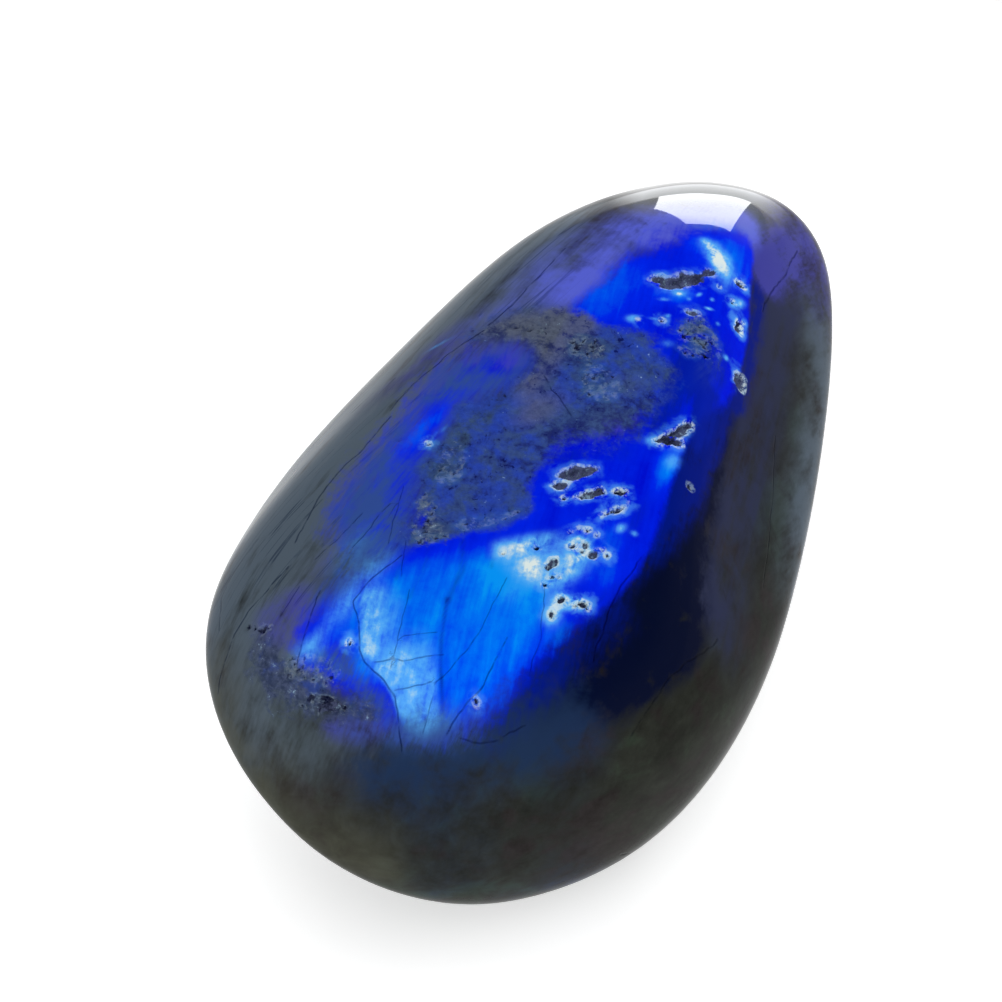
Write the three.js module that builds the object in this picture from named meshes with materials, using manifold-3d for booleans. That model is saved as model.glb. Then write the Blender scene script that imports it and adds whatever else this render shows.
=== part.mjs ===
// A tumbled labradorescent feldspar pebble: one egg-shaped stone, polished, lying on a small worn flat.
// Units are millimetres with +Z up. The long axis runs along Y, the broad end towards -Y and the narrow
// end towards +Y. The origin is on the resting flat, under the middle of the stone's outline.
//
// The form is an egg worn down by tumbling: a rounded box is tapered and bent along its length, broad soft
// flats are rubbed into it, a faint swell is laid over them, the underside is cut flat and the open vugs
// of the crown are sunk last.

import * as THREE from "three";
import { mergeVertices } from "three/addons/utils/BufferGeometryUtils.js";
import Module from "manifold-3d";

const wasm = await Module();
wasm.setup();

// Driving dimensions of the egg before it is worn.
const LENGTH = 47.2;
const WIDTH = 27.4;
const CROWN_HEIGHT = 11.7; // widest level up to the top
const BELLY_DEPTH = 12.6; // widest level down to the unworn underside
const BASE_DEPTH = 11.2; // widest level down to the resting flat

// Roundness: 2 is an ellipse and more is boxier, across the stone and lengthwise at either end.
const CROSS_SQUARENESS = 2.16;
const BROAD_SQUARENESS = 1.95;
const NARROW_SQUARENESS = 2.88;
const NOSE_FULLNESS = 0.88; // under 1 keeps the narrow end thick until close to its tip

// How the section changes along the stone, which runs from -1 at the broad end to +1 at the narrow end.
const WIDTH_TAPER = { slope: 0.285, curve: -0.06 };
const CROWN_TAPER = { slope: 0.1, curve: 0 };
const BELLY_TAPER = { slope: 0.6, curve: 0.05 };

// How the long axis wanders sideways, in millimetres.
const LEAN = 4.7;
const HOOK = 1.3;

// Broad flats rubbed by tumbling: the way each faces, how far its plane lies inside the egg and how far
// its edge is rounded. A plane that lies just outside the egg, with its worn depth below zero, still
// blunts the egg by its rounding.
const WORN_FLATS = [
  { place: "crown", facing: [-0.06, -0.03, 1], worn: 1.25, round: 0.8 },
  { place: "right flank", facing: [0.84, 0.08, 0.54], worn: 1.6, round: 0.9 },
  { place: "left flank", facing: [-0.8, 0.2, 0.56], worn: 0.4, round: 1 },
  { place: "broad end", facing: [0.1, -0.84, 0.54], worn: 0.6, round: 1.1 },
  { place: "narrow end", facing: [0.06, 0.86, 0.34], worn: -1.2, round: 2.4 },
  { place: "under left", facing: [-0.62, -0.35, -0.7], worn: 5.95, round: 1.5 },
  { place: "under right", facing: [0.66, 0.25, -0.7], worn: 1.15, round: 1.5 },
];

// Faint swells left by the tumbling: each is a sine wave with its slopes in radians per millimetre.
const SWELL_HEIGHT = 0.1;
const SWELLS = [
  { slope: [0.34, 0.21, 0], phase: 0.8 },
  { slope: [0, 0.27, -0.38], phase: 2 },
  { slope: [0.29, -0.17, 0.31], phase: 0 },
];

// Open vugs. Across and along are fractions of the half width and half length, seen from above;
// turn is in degrees from +X; the rest are millimetres.
const VUGS = [
  { name: "long vug", across: 0.325, along: 0.39, long: 2.7, wide: 1.0, deep: 0.55, turn: 42 },
  { name: "long vug's heel", across: 0.254, along: 0.372, long: 1.1, wide: 0.8, deep: 0.45, turn: 15 },
  { name: "long vug's arm", across: 0.403, along: 0.442, long: 1.6, wide: 0.4, deep: 0.3, turn: 52 },
  { name: "shoulder vug", across: 0.486, along: -0.062, long: 1.6, wide: 0.6, deep: 0.5, turn: 28 },
  { name: "shoulder vug's twin", across: 0.515, along: -0.015, long: 1.7, wide: 0.6, deep: 0.5, turn: 62 },
  { name: "middle vug", across: 0.226, along: -0.22, long: 2.3, wide: 1.0, deep: 0.5, turn: 30 },
  { name: "middle vug's foot", across: 0.192, along: -0.259, long: 0.9, wide: 0.6, deep: 0.35, turn: 40 },
  { name: "slot vug", across: 0.303, along: -0.265, long: 1.6, wide: 0.6, deep: 0.45, turn: 28 },
  { name: "lower slot vug", across: 0.402, along: -0.29, long: 1.6, wide: 0.5, deep: 0.45, turn: 46 },
  { name: "side hole", across: 0.393, along: -0.24, long: 0.7, wide: 0.45, deep: 0.35, turn: 20 },
  { name: "crust hole one", across: 0.303, along: -0.403, long: 0.6, wide: 0.45, deep: 0.35, turn: 60 },
  { name: "crust hole two", across: 0.344, along: -0.39, long: 0.6, wide: 0.45, deep: 0.35, turn: 80 },
  { name: "crust hole three", across: 0.385, along: -0.411, long: 0.6, wide: 0.5, deep: 0.35, turn: 10 },
  { name: "crust hole four", across: 0.262, along: -0.456, long: 1.0, wide: 0.5, deep: 0.4, turn: 75 },
  { name: "end hole one", across: 0.33, along: -0.53, long: 0.8, wide: 0.5, deep: 0.4, turn: 60 },
  { name: "end hole two", across: 0.395, along: -0.515, long: 0.9, wide: 0.7, deep: 0.45, turn: 30 },
  { name: "end hole three", across: 0.313, along: -0.565, long: 0.7, wide: 0.4, deep: 0.35, turn: 95 },
  { name: "ring hole", across: 0.53, along: 0.47, long: 0.55, wide: 0.5, deep: 0.35, turn: 0 },
  { name: "edge slit", across: 0.572, along: 0.358, long: 0.8, wide: 0.4, deep: 0.35, turn: 100 },
  { name: "edge hole", across: 0.636, along: 0.229, long: 1.0, wide: 0.55, deep: 0.4, turn: 115 },
  { name: "rough dip", across: 0.422, along: 0.287, long: 2.2, wide: 1.6, deep: 0.25, turn: 60 },
  { name: "corner dip", across: -0.345, along: -0.838, long: 1.4, wide: 0.9, deep: 0.3, turn: 10 },
];

// Fineness of the faceted surfaces: how many times each edge of the icosahedron is split.
const SKIN_SPLITS = 18;
const VUG_SPLITS = 1;

// Dark, glossy stone.
const STONE_COLOUR = 0x2b3440;
const STONE_ROUGHNESS = 0.12;

/** Vector from the three numbers of a list. */
function vector(numbers) {
  return new THREE.Vector3(...numbers);
}

/** The same geometry with its shared vertices merged and only their positions kept. */
function shared(geometry) {
  const bare = geometry.clone();
  bare.deleteAttribute("normal");
  bare.deleteAttribute("uv");
  return mergeVertices(bare);
}

/** Closed geometry as a solid that can be cut. */
function solidOf(geometry) {
  const merged = shared(geometry);
  const vertProperties = new Float32Array(merged.attributes.position.array);
  const triVerts = new Uint32Array(merged.index.array);
  return new wasm.Manifold(new wasm.Mesh({ numProp: 3, vertProperties, triVerts }));
}

/** A cut solid back as geometry. */
function geometryOf(solid) {
  const { vertProperties, triVerts } = solid.getMesh();
  const geometry = new THREE.BufferGeometry();
  geometry.setAttribute("position", new THREE.BufferAttribute(vertProperties, 3));
  geometry.setIndex(new THREE.BufferAttribute(triVerts, 1));
  geometry.computeVertexNormals();
  return geometry;
}

/** Moves every vertex of a geometry to what the given function makes of it. */
function reshape(geometry, move) {
  const position = geometry.attributes.position;
  for (let i = 0; i < position.count; i += 1) {
    const moved = move(new THREE.Vector3().fromBufferAttribute(position, i));
    position.setXYZ(i, moved.x, moved.y, moved.z);
  }
  return geometry;
}

/** Size of a section along the stone, against its size in the middle. */
function taper(along, change) {
  return 1 - change.slope * along + change.curve * along ** 2;
}

/** Distance from the centre of a rounded box, of half size 1, in the direction of two or three numbers. */
function boxReach(parts, squareness) {
  const powers = parts.map((part) => Math.abs(part) ** squareness);
  return powers.reduce((sum, power) => sum + power) ** (-1 / squareness);
}

/** Point of the unworn egg in a unit direction: a rounded box, tapered and bent along its length. */
function eggPoint(direction) {
  const girth = Math.hypot(direction.x, direction.z);
  const aside = girth > 0 ? direction.x / girth : 1;
  const upward = girth > 0 ? direction.z / girth : 0;
  const towardNose = (1 + direction.y) / 2;
  const lengthwise = THREE.MathUtils.lerp(BROAD_SQUARENESS, NARROW_SQUARENESS, towardNose);
  const reach = boxReach([direction.y, girth], lengthwise);
  const crossReach = boxReach([aside, upward], CROSS_SQUARENESS);
  const along = direction.y * reach;
  const radius = girth * reach;
  const fullness = 1 - (1 - NOSE_FULLNESS) * Math.max(direction.y, 0);
  const halfHeight = upward > 0 ? CROWN_HEIGHT : BELLY_DEPTH;
  const heightTaper = upward > 0 ? CROWN_TAPER : BELLY_TAPER;
  const bend = LEAN * along + HOOK * (along ** 3 - along);
  return new THREE.Vector3(
    (WIDTH / 2) * aside * crossReach * radius * taper(along, WIDTH_TAPER) + bend,
    (LENGTH / 2) * along,
    halfHeight * upward * crossReach * radius ** fullness * taper(along, heightTaper),
  );
}

/** Plane of a worn flat: it lies its worn depth inside the egg's outermost point that way. */
function wornPlane(flat, eggPoints) {
  const normal = vector(flat.facing).normalize();
  const reach = eggPoints.reduce((most, point) => Math.max(most, normal.dot(point)), -Infinity);
  return { normal, level: reach - flat.worn, round: flat.round };
}

/** Pulls a point back to a worn plane, with the edge of the flat rounded over. */
function wear(point, plane) {
  const over = (plane.normal.dot(point) - plane.level) / plane.round;
  const depth = plane.round * Math.log1p(Math.exp(over));
  return point.clone().addScaledVector(plane.normal, -depth);
}

/** Height of the faint swell at a point. */
function swell(point) {
  const waves = SWELLS.map((wave) => Math.sin(vector(wave.slope).dot(point) + wave.phase));
  return SWELL_HEIGHT * waves.reduce((sum, height) => sum + height);
}

/** Skin of the whole pebble, centred on its widest level, with the underside still round. */
function pebbleSkin() {
  const sphere = shared(new THREE.IcosahedronGeometry(1, SKIN_SPLITS));
  const eggPoints = [];
  reshape(sphere.clone(), (direction) => {
    eggPoints.push(eggPoint(direction));
    return direction;
  });
  const planes = WORN_FLATS.map((flat) => wornPlane(flat, eggPoints));
  return reshape(sphere, (direction) => {
    const worn = planes.reduce(wear, eggPoint(direction));
    return worn.addScaledVector(direction, swell(worn));
  });
}

/** Block of ground that lies under the resting flat. */
function groundBlock() {
  const block = new THREE.BoxGeometry(2 * LENGTH, 2 * LENGTH, LENGTH);
  return block.translate(0, 0, -BASE_DEPTH - LENGTH / 2);
}

/** Moves a geometry so that its resting flat is at height zero and its outline is centred over it. */
function centred(geometry) {
  geometry.computeBoundingBox();
  const middle = geometry.boundingBox.getCenter(new THREE.Vector3());
  return geometry.translate(-middle.x, -middle.y, BASE_DEPTH);
}

/** Ellipsoid that a vug is sunk with, laid on the stone's surface straight below its place. */
function vugCutter(vug, surface) {
  const half = surface.geometry.boundingBox.getSize(new THREE.Vector3()).divideScalar(2);
  const above = new THREE.Vector3(vug.across * half.x, vug.along * half.y, LENGTH);
  const ray = new THREE.Raycaster(above, new THREE.Vector3(0, 0, -1));
  const [hit] = ray.intersectObject(surface);
  const turn = THREE.MathUtils.degToRad(vug.turn);
  const heading = new THREE.Vector3(Math.cos(turn), Math.sin(turn), 0);
  const outward = hit.face.normal.clone();
  const sideways = new THREE.Vector3().crossVectors(outward, heading).normalize();
  const lengthwise = new THREE.Vector3().crossVectors(sideways, outward);
  const place = new THREE.Matrix4().makeBasis(lengthwise, sideways, outward).setPosition(hit.point);
  const ball = new THREE.IcosahedronGeometry(1, VUG_SPLITS);
  return ball.scale(vug.long / 2, vug.wide / 2, vug.deep).applyMatrix4(place);
}

/** The finished stone. */
function buildStone() {
  const cut = solidOf(pebbleSkin()).subtract(solidOf(groundBlock()));
  const surface = new THREE.Mesh(centred(geometryOf(cut)));
  surface.geometry.computeBoundingBox();
  const carve = (solid, vug) => solid.subtract(solidOf(vugCutter(vug, surface)));
  const carved = VUGS.reduce(carve, solidOf(surface.geometry));
  const material = new THREE.MeshStandardMaterial({
    color: STONE_COLOUR,
    roughness: STONE_ROUGHNESS,
    metalness: 0,
  });
  const stone = new THREE.Mesh(geometryOf(carved), material);
  stone.name = "stone";
  return stone;
}

const pebble = new THREE.Group();
pebble.add(buildStone());

export default pebble;
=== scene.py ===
"""Looks of a tumbled labradorescent feldspar pebble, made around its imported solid.

The stone is one closed skin, worked out from the dimensions that the solid also has, with its open
vugs and pinholes sunk into it. The blue flash, the dull grainy patches, the pale crust and the
cleavage cracks are laid out on the stone's plan, its shape seen from above, in millimetres from the
middle of its outline. The skin carries them as attributes, and the material reads those.
"""

import logging
import math
from dataclasses import dataclass, field
from enum import Enum
from typing import Any, Callable, Mapping, Optional, Sequence, Union

import bpy
import numpy as np
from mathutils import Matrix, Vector


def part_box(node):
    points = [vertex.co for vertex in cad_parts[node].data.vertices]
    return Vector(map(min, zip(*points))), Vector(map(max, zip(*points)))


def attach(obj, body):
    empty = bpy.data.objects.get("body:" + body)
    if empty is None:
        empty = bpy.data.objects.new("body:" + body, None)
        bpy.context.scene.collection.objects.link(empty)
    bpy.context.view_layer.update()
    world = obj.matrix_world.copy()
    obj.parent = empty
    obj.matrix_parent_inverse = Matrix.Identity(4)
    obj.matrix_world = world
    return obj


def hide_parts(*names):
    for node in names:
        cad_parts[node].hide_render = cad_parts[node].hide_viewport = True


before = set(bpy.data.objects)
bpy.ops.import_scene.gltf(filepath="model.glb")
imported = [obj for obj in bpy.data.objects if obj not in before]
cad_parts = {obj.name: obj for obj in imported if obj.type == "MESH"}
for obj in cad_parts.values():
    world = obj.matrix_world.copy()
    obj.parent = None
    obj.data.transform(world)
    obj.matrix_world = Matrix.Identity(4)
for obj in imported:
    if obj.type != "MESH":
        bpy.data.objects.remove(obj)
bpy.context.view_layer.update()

LOG = logging.getLogger("stone")
MM = 0.001
TINY = 1e-9  # keeps a divisor off zero
Array = np.ndarray
Place = tuple[float, ...]
Triple = tuple[float, float, float]
Colour = tuple[float, float, float, float]


class Mark(str, Enum):
    """Attributes of the skin that the material reads."""

    PIT = "pit"  # millimetres outside the nearest vug's edge, negative inside it
    RIM = "rim"  # how pale the rim of the nearest vug is, 0 to 1
    SLATE = "slate"  # floor of the nearest vug: -1 is black, 0 brown and 1 grey
    FLASH = "flash"  # depth inside the blue flash, in widths of its soft edge
    DULL = "dull"  # depth inside a dull patch, in widths of its soft edge
    GRIT = "grit"  # depth inside a gritty patch, in widths of its soft edge
    ASH = "ash"  # how warm and grey a dull patch is, 0 to 1
    AZURE = "azure"  # 0 is ultramarine flash and 1 is azure
    PALE = "pale"  # milky light over the flash, 0 to 1 and above
    NOSE = "nose"  # glassier polish of the narrow end, 0 to 1
    HAZE = "haze"  # blue-grey of the left flank, partly painted sheen: flanks and right edge lightened where polish mirrors bright surroundings
    DUSK = "dusk"  # violet-grey of the right flank
    OLIVE = "olive"  # warm grey of the blunt end's rim
    TEAL = "teal"  # sunken blue glow below the flash
    NAVY = "navy"  # near-black blue right of the flash
    INDIGO = "indigo"  # deep blue hem of the flash
    VIOLET = "violet"  # violet glow round the flash
    MIST = "mist"  # milky violet of the narrow end
    DEEP = "deep_blue"  # darker lamellae within the flash
    VEIL = "veil"  # dim slate film over the flash
    CRACK = "crack"  # signed millimetres across the nearest crack
    CRACK_REACH = "crack_reach"  # millimetres to the nearest crack, whichever the side
    CROSS = "cross"  # signed millimetres across the nearest crack of the second set
    CROSS_REACH = "cross_reach"  # millimetres to the nearest crack of the second set


def each(kind: Callable[..., Any], *rows: Sequence[Any]) -> tuple[Any, ...]:
    """One thing of a kind for each row of its values."""
    return tuple(kind(*row) for row in rows)


# ---------------------------------------------------------------- shape


@dataclass(frozen=True)
class Taper:
    """Change of a section's size along the stone."""

    slope: float
    curve: float

    def at(self, along: Array) -> Array:
        """Size against the middle's: one, less slope times along, plus curve times its square."""
        return 1 - self.slope * along + self.curve * along**2


@dataclass(frozen=True)
class WornFlat:
    """Broad flat rubbed into the egg: the way it faces, its depth and the rounding of its edge."""

    facing: Triple
    worn: float
    rounding: float


@dataclass(frozen=True)
class Swell:
    """Faint wave left by tumbling, with its slopes in radians per millimetre."""

    slope: Triple
    phase: float


@dataclass(frozen=True)
class Plane:
    """Plane that a worn flat is rubbed down to."""

    normal: Array
    level: float
    rounding: float


def smooth_step(value: Array) -> Array:
    """Value held to 0 to 1 and eased at both ends: three squared less two cubed."""
    held = np.clip(value, 0, 1)
    return held * held * (3 - 2 * held)


def soft_plus(value: Array) -> Array:
    """Logarithm of one plus e to the value, safe for large values."""
    return np.logaddexp(0, value)


@dataclass
class StoneForm:
    """Egg worn down by tumbling, in millimetres, its long axis on Y and its broad end at -Y."""

    length: float = 47.2
    width: float = 27.4
    crown_height: float = 11.7
    belly_depth: float = 12.6
    base_depth: float = 11.2
    cross_squareness: float = 2.16
    broad_squareness: float = 1.95
    narrow_squareness: float = 2.88
    nose_fullness: float = 0.88
    width_taper: Taper = Taper(0.285, -0.06)
    crown_taper: Taper = Taper(0.1, 0)
    belly_taper: Taper = Taper(0.6, 0.05)
    lean: float = 4.7
    hook: float = 1.3
    base_rounding: float = 0.1
    swell_height: float = 0.1
    flats: Sequence[WornFlat] = each(
        WornFlat,
        ((-0.06, -0.03, 1), 1.25, 0.8),
        ((0.84, 0.08, 0.54), 1.6, 0.9),
        ((-0.8, 0.2, 0.56), 0.4, 1),
        ((0.1, -0.84, 0.54), 0.6, 1.1),
        ((0.06, 0.86, 0.34), -1.2, 2.4),
        ((-0.62, -0.35, -0.7), 5.95, 1.5),
        ((0.66, 0.25, -0.7), 1.15, 1.5),
    )
    swells: Sequence[Swell] = each(
        Swell, ((0.34, 0.21, 0), 0.8), ((0, 0.27, -0.38), 2), ((0.29, -0.17, 0.31), 0)
    )

    def egg(self, directions: Array) -> Array:
        """Unworn egg: a rounded box, tapered and bent along its length.

        The reach of the box in a direction is the sum of its parts' powers, to minus one over the
        power: once lengthwise, between the long axis and the girth, and once across the section.
        The axis leans by a line and hooks by a cubic.

        Args:
            directions: Unit directions, with their three parts on the last axis.

        Returns:
            Points in millimetres, centred on the stone's widest level.
        """
        girth = np.hypot(directions[..., 0], directions[..., 2])
        off_axis, safe = girth > TINY, np.maximum(girth, TINY)
        aside = np.where(off_axis, directions[..., 0] / safe, 1)
        upward = np.where(off_axis, directions[..., 2] / safe, 0)
        toward_nose = (1 + directions[..., 1]) / 2
        narrower = self.narrow_squareness - self.broad_squareness
        power = self.broad_squareness + narrower * toward_nose
        reach = (np.abs(directions[..., 1]) ** power + girth**power) ** (-1 / power)
        cross = self.cross_squareness
        cross_reach = (np.abs(aside) ** cross + np.abs(upward) ** cross) ** (-1 / cross)
        along, radius = directions[..., 1] * reach, girth * reach
        fullness = 1 - (1 - self.nose_fullness) * np.maximum(directions[..., 1], 0)
        bend = self.lean * along + self.hook * (along**3 - along)
        crown = self.crown_height * self.crown_taper.at(along)
        belly = self.belly_depth * self.belly_taper.at(along)
        x = self.width / 2 * aside * cross_reach * radius * self.width_taper.at(along) + bend
        z = np.where(upward > 0, crown, belly) * upward * cross_reach * radius**fullness
        return np.stack([x, self.length / 2 * along, z], -1)

    def planes(self, egg_points: Array) -> list[Plane]:
        """Planes of the worn flats, each its worn depth inside the egg's outermost point that way.

        Args:
            egg_points: Points of the unworn egg.

        Returns:
            One plane for each flat.
        """
        found = []
        for flat in self.flats:
            normal = np.array(flat.facing) / np.linalg.norm(flat.facing)
            level = float((egg_points @ normal).max()) - flat.worn
            found.append(Plane(normal, level, flat.rounding))
        return found

    def skin(self, directions: Array, planes: Sequence[Plane]) -> Array:
        """Worn egg, swollen faintly and cut flat below.

        Each flat pulls a point back by its rounding times the soft plus of how far it lies over the
        plane, the swell moves it along its direction by a sum of sines, and the height over the
        resting flat is the soft plus of itself, which rounds the edge of that flat.

        Args:
            directions: Unit directions, with their three parts on the last axis.
            planes: Planes of the worn flats.

        Returns:
            Points in millimetres, with the resting flat at height zero.
        """
        points = self.egg(directions)
        for plane in planes:
            over = (points @ plane.normal - plane.level) / plane.rounding
            points = points - (plane.rounding * soft_plus(over))[..., None] * plane.normal
        waves = sum(np.sin(points @ np.array(swell.slope) + swell.phase) for swell in self.swells)
        points = points + self.swell_height * waves[..., None] * directions
        height = (points[..., 2] + self.base_depth) / self.base_rounding
        points[..., 2] = self.base_rounding * soft_plus(height)
        return points


@dataclass
class SkinGrid:
    """Grid of directions, its poles on the long axis, finer where the crown is pitted.

    Lengths are millimetres along the stone, and turns are degrees round it, from +X upwards.
    """

    rows: int = 410
    columns: int = 240
    fine_length: tuple[float, float] = (-20.3, 13.5)
    fine_turn: tuple[float, float] = (44.0, 86.0)
    medium_turn: tuple[float, float] = (86.0, 142.0)
    end_share: float = 0.4
    medium_share: float = 0.5
    coarse_share: float = 0.16
    samples: int = 4000  # points that a spacing is measured on
    pole_gap: float = 0.004  # radians left open round each pole
    meridian_turn: float = 65.0  # turn of the line that the rows are spaced on
    girth_polar: float = 95.0  # degrees from +Y of the ring that the columns are spaced on
    blur: int = 60  # samples on each side that the columns' shares are averaged over

    @staticmethod
    def graded(parameter: Array, path: Array, share: Array, count: int) -> Array:
        """Parameters whose steps along a path are alike once weighted.

        Args:
            parameter: Increasing parameter of the path's points.
            path: Points of the path.
            share: Weight of the path at each point.
            count: How many parameters to return.

        Returns:
            Parameters from the path's start to its end.
        """
        steps = np.linalg.norm(np.diff(path, axis=0), axis=-1) * (share[1:] + share[:-1]) / 2
        weight = np.concatenate([[0], np.cumsum(steps)])
        return np.interp(np.linspace(0, weight[-1], count), weight, parameter)

    @staticmethod
    def direction(polar: Array, turn: Array) -> Array:
        """Unit direction at an angle from +Y and a turn from +X towards +Z."""
        parts = (np.sin(polar) * np.cos(turn), np.cos(polar), np.sin(polar) * np.sin(turn))
        return np.stack(np.broadcast_arrays(*parts), -1)

    def directions(self, form: StoneForm) -> Array:
        """Directions of the grid, rows from the narrow end to the broad end and columns round it.

        Args:
            form: Form that the spacing is measured on.

        Returns:
            Array of rows by columns by three.
        """
        polar = np.linspace(self.pole_gap, math.pi - self.pole_gap, self.samples)
        meridian = form.egg(self.direction(polar, np.radians(self.meridian_turn)))
        low, high = self.fine_length
        is_fine = (meridian[:, 1] > low) & (meridian[:, 1] < high)
        polar = self.graded(polar, meridian, np.where(is_fine, 1, self.end_share), self.rows)
        degrees = np.linspace(0, 360, self.samples)
        turn = np.radians(degrees)
        ring = form.egg(self.direction(np.radians(self.girth_polar), turn))
        share = np.full(turn.shape, self.coarse_share)
        share[(degrees > self.medium_turn[0]) & (degrees < self.medium_turn[1])] = self.medium_share
        share[(degrees > self.fine_turn[0]) & (degrees < self.fine_turn[1])] = 1
        window = np.ones(2 * self.blur + 1)
        padded = np.pad(share, self.blur, mode="wrap")
        share = np.convolve(padded, window / window.size, mode="valid")
        turn = self.graded(turn, ring, share, self.columns + 1)[:-1]
        return self.direction(polar[:, None], turn[None, :])


def grid_normals(points: Array) -> Array:
    """Outward unit normals of a grid that closes round its columns.

    Args:
        points: Rows by columns by three.

    Returns:
        Normals in the same shape.
    """
    down = np.gradient(points, axis=0)
    around = (np.roll(points, -1, axis=1) - np.roll(points, 1, axis=1)) / 2
    normals = np.cross(down, around)
    normals /= np.linalg.norm(normals, axis=-1, keepdims=True) + TINY
    outward = ((points - points.mean((0, 1))) * normals).sum()
    return normals if outward > 0 else -normals


# ---------------------------------------------------------------- markings on the plan


def lattice_noise(x: Array, y: Array, cell: float, seed: int) -> Array:
    """Smooth noise on a plane: random numbers on a square lattice, eased between neighbours.

    Args:
        x: First coordinate of each point.
        y: Second coordinate of each point.
        cell: Side of a lattice square.
        seed: Seed of the random numbers.

    Returns:
        Values from -1 to 1, in the shape of x.
    """
    side = 128
    table = np.random.default_rng(seed).uniform(-1, 1, (side, side))
    column, row = np.floor(x / cell), np.floor(y / cell)
    right, up = smooth_step(x / cell - column), smooth_step(y / cell - row)
    i, j = column.astype(int) % side, row.astype(int) % side
    i_next, j_next = (i + 1) % side, (j + 1) % side
    low = table[j, i] * (1 - right) + table[j, i_next] * right
    high = table[j_next, i] * (1 - right) + table[j_next, i_next] * right
    return low * (1 - up) + high * up


def turned(x: Array, y: Array, degrees: float) -> tuple[Array, Array]:
    """Parts of a place along a direction on the plan and a quarter turn from it."""
    cos, sin = math.cos(math.radians(degrees)), math.sin(math.radians(degrees))
    return x * cos + y * sin, y * cos - x * sin


def segment_reach(
    x: Array, y: Array, start: Sequence[float], end: Sequence[float]
) -> tuple[Array, Array]:
    """Distance from points to a segment, and the share of the segment where the nearest place is.

    Args:
        x: Plan positions across the stone.
        y: Plan positions along the stone.
        start: Where the segment starts.
        end: Where it ends.

    Returns:
        Distance in millimetres and share from 0 to 1.
    """
    step = (end[0] - start[0], end[1] - start[1])
    size = step[0] ** 2 + step[1] ** 2 + TINY
    share = np.clip(((x - start[0]) * step[0] + (y - start[1]) * step[1]) / size, 0, 1)
    return np.hypot(x - start[0] - share * step[0], y - start[1] - share * step[1]), share


@dataclass(frozen=True)
class Ripple:
    """Noise on the plan: its height, the side of its cells in millimetres and its seed."""

    height: float
    cell: float
    seed: int

    def at(self, x: Array, y: Array) -> Array:
        """Height times the noise."""
        return self.height * lattice_noise(x, y, self.cell, self.seed)


@dataclass(frozen=True)
class Outline:
    """Closed outline on the plan in mm, with the softness of its edge and the strength inside.

    A point is its x and y, and its own softness where that differs from the outline's. The flash,
    the dull patches and the grit are read by their depth, which has no strength.
    """

    points: Sequence[Place]
    soft: float = 0.4
    strength: float = 1.0
    passes: int = 2
    margin: float = 3.0

    def rounded(self) -> Array:
        """The outline with its corners cut to quarters, as many times as it has passes.

        Returns:
            Rows of x, y and softness.
        """
        ring = np.array([(point + (self.soft,))[:3] for point in self.points], float)
        for _ in range(self.passes):
            following = np.roll(ring, -1, axis=0)
            ring = np.stack([ring * 0.75 + following * 0.25, ring * 0.25 + following * 0.75], 1)
            ring = ring.reshape(-1, 3)
        return ring

    def depth(self, x: Array, y: Array) -> tuple[Array, Array]:
        """Depth of each point inside the outline, and the softness of the edge nearest to it.

        Args:
            x: Plan positions across the stone.
            y: Plan positions along the stone.

        Returns:
            Depth and softness in millimetres, in the shape of x; a depth is negative outside, and
            at least minus the margin.
        """
        ring = self.rounded()
        low, high = ring[:, :2].min(0) - self.margin, ring[:, :2].max(0) + self.margin
        near = (x > low[0]) & (x < high[0]) & (y > low[1]) & (y < high[1])
        right, up = x[near], y[near]
        nearest = np.full(right.shape, np.inf)
        soft_near = np.zeros(right.shape)
        inside = np.zeros(right.shape, bool)
        for start, end in zip(ring, np.roll(ring, -1, axis=0)):
            distance, share = segment_reach(right, up, start[:2], end[:2])
            closer = distance < nearest
            nearest = np.where(closer, distance, nearest)
            soft_near = np.where(closer, start[2] + (end[2] - start[2]) * share, soft_near)
            straddles = (start[1] > up) != (end[1] > up)
            rise = end[1] - start[1] if end[1] != start[1] else TINY
            crossing = start[0] + (up - start[1]) * (end[0] - start[0]) / rise
            inside ^= straddles & (right < crossing)
        depth, soft = np.full(x.shape, -self.margin), np.full(x.shape, self.soft)
        depth[near] = np.maximum(np.where(inside, nearest, -nearest), -self.margin)
        soft[near] = soft_near
        return depth, soft

    def at(self, x: Array, y: Array) -> Array:
        """Strength, eased to nothing over the softness on either side of the edge."""
        depth, soft = self.depth(x, y)
        return self.strength * smooth_step(0.5 + depth / (2 * soft))


@dataclass(frozen=True)
class Glow:
    """Soft oval on the plan: its middle, half sizes, turn in degrees and strength."""

    x: float
    y: float
    long: float
    wide: float
    turn: float = 90.0
    strength: float = 1.0

    def at(self, x: Array, y: Array) -> Array:
        """Strength times e to minus the squared distance, in half sizes."""
        along, aside = turned(x - self.x, y - self.y, self.turn)
        return self.strength * np.exp(-((along / self.long) ** 2) - (aside / self.wide) ** 2)


@dataclass(frozen=True)
class Band:
    """Soft line on the plan through points in mm, with its half width and strength."""

    points: Sequence[Place]
    wide: float
    strength: float = 1.0

    def at(self, x: Array, y: Array) -> Array:
        """Strength times e to minus the squared distance from the line, in half widths."""
        reaches = [segment_reach(x, y, *ends)[0] for ends in zip(self.points, self.points[1:])]
        return self.strength * np.exp(-((np.min(reaches, axis=0) / self.wide) ** 2))


Shape = Union[Outline, Glow, Band]


@dataclass(frozen=True)
class Vug:
    """Open pit: its place in shares of the half width and half length, its sizes in mm and turn.

    The rim is 0 dark to 1 pale, and the floor is -1 black, 0 brown or 1 grey.
    """

    across: float
    along: float
    long: float
    wide: float
    deep: float
    turn: float = 0.0
    rim: float = 1.0
    floor: float = 0.0


@dataclass(frozen=True)
class Pinhole:
    """Round hole with a black floor: its middle and radius in mm, and how pale its rim is."""

    x: float
    y: float
    radius: float
    rim: float


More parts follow.
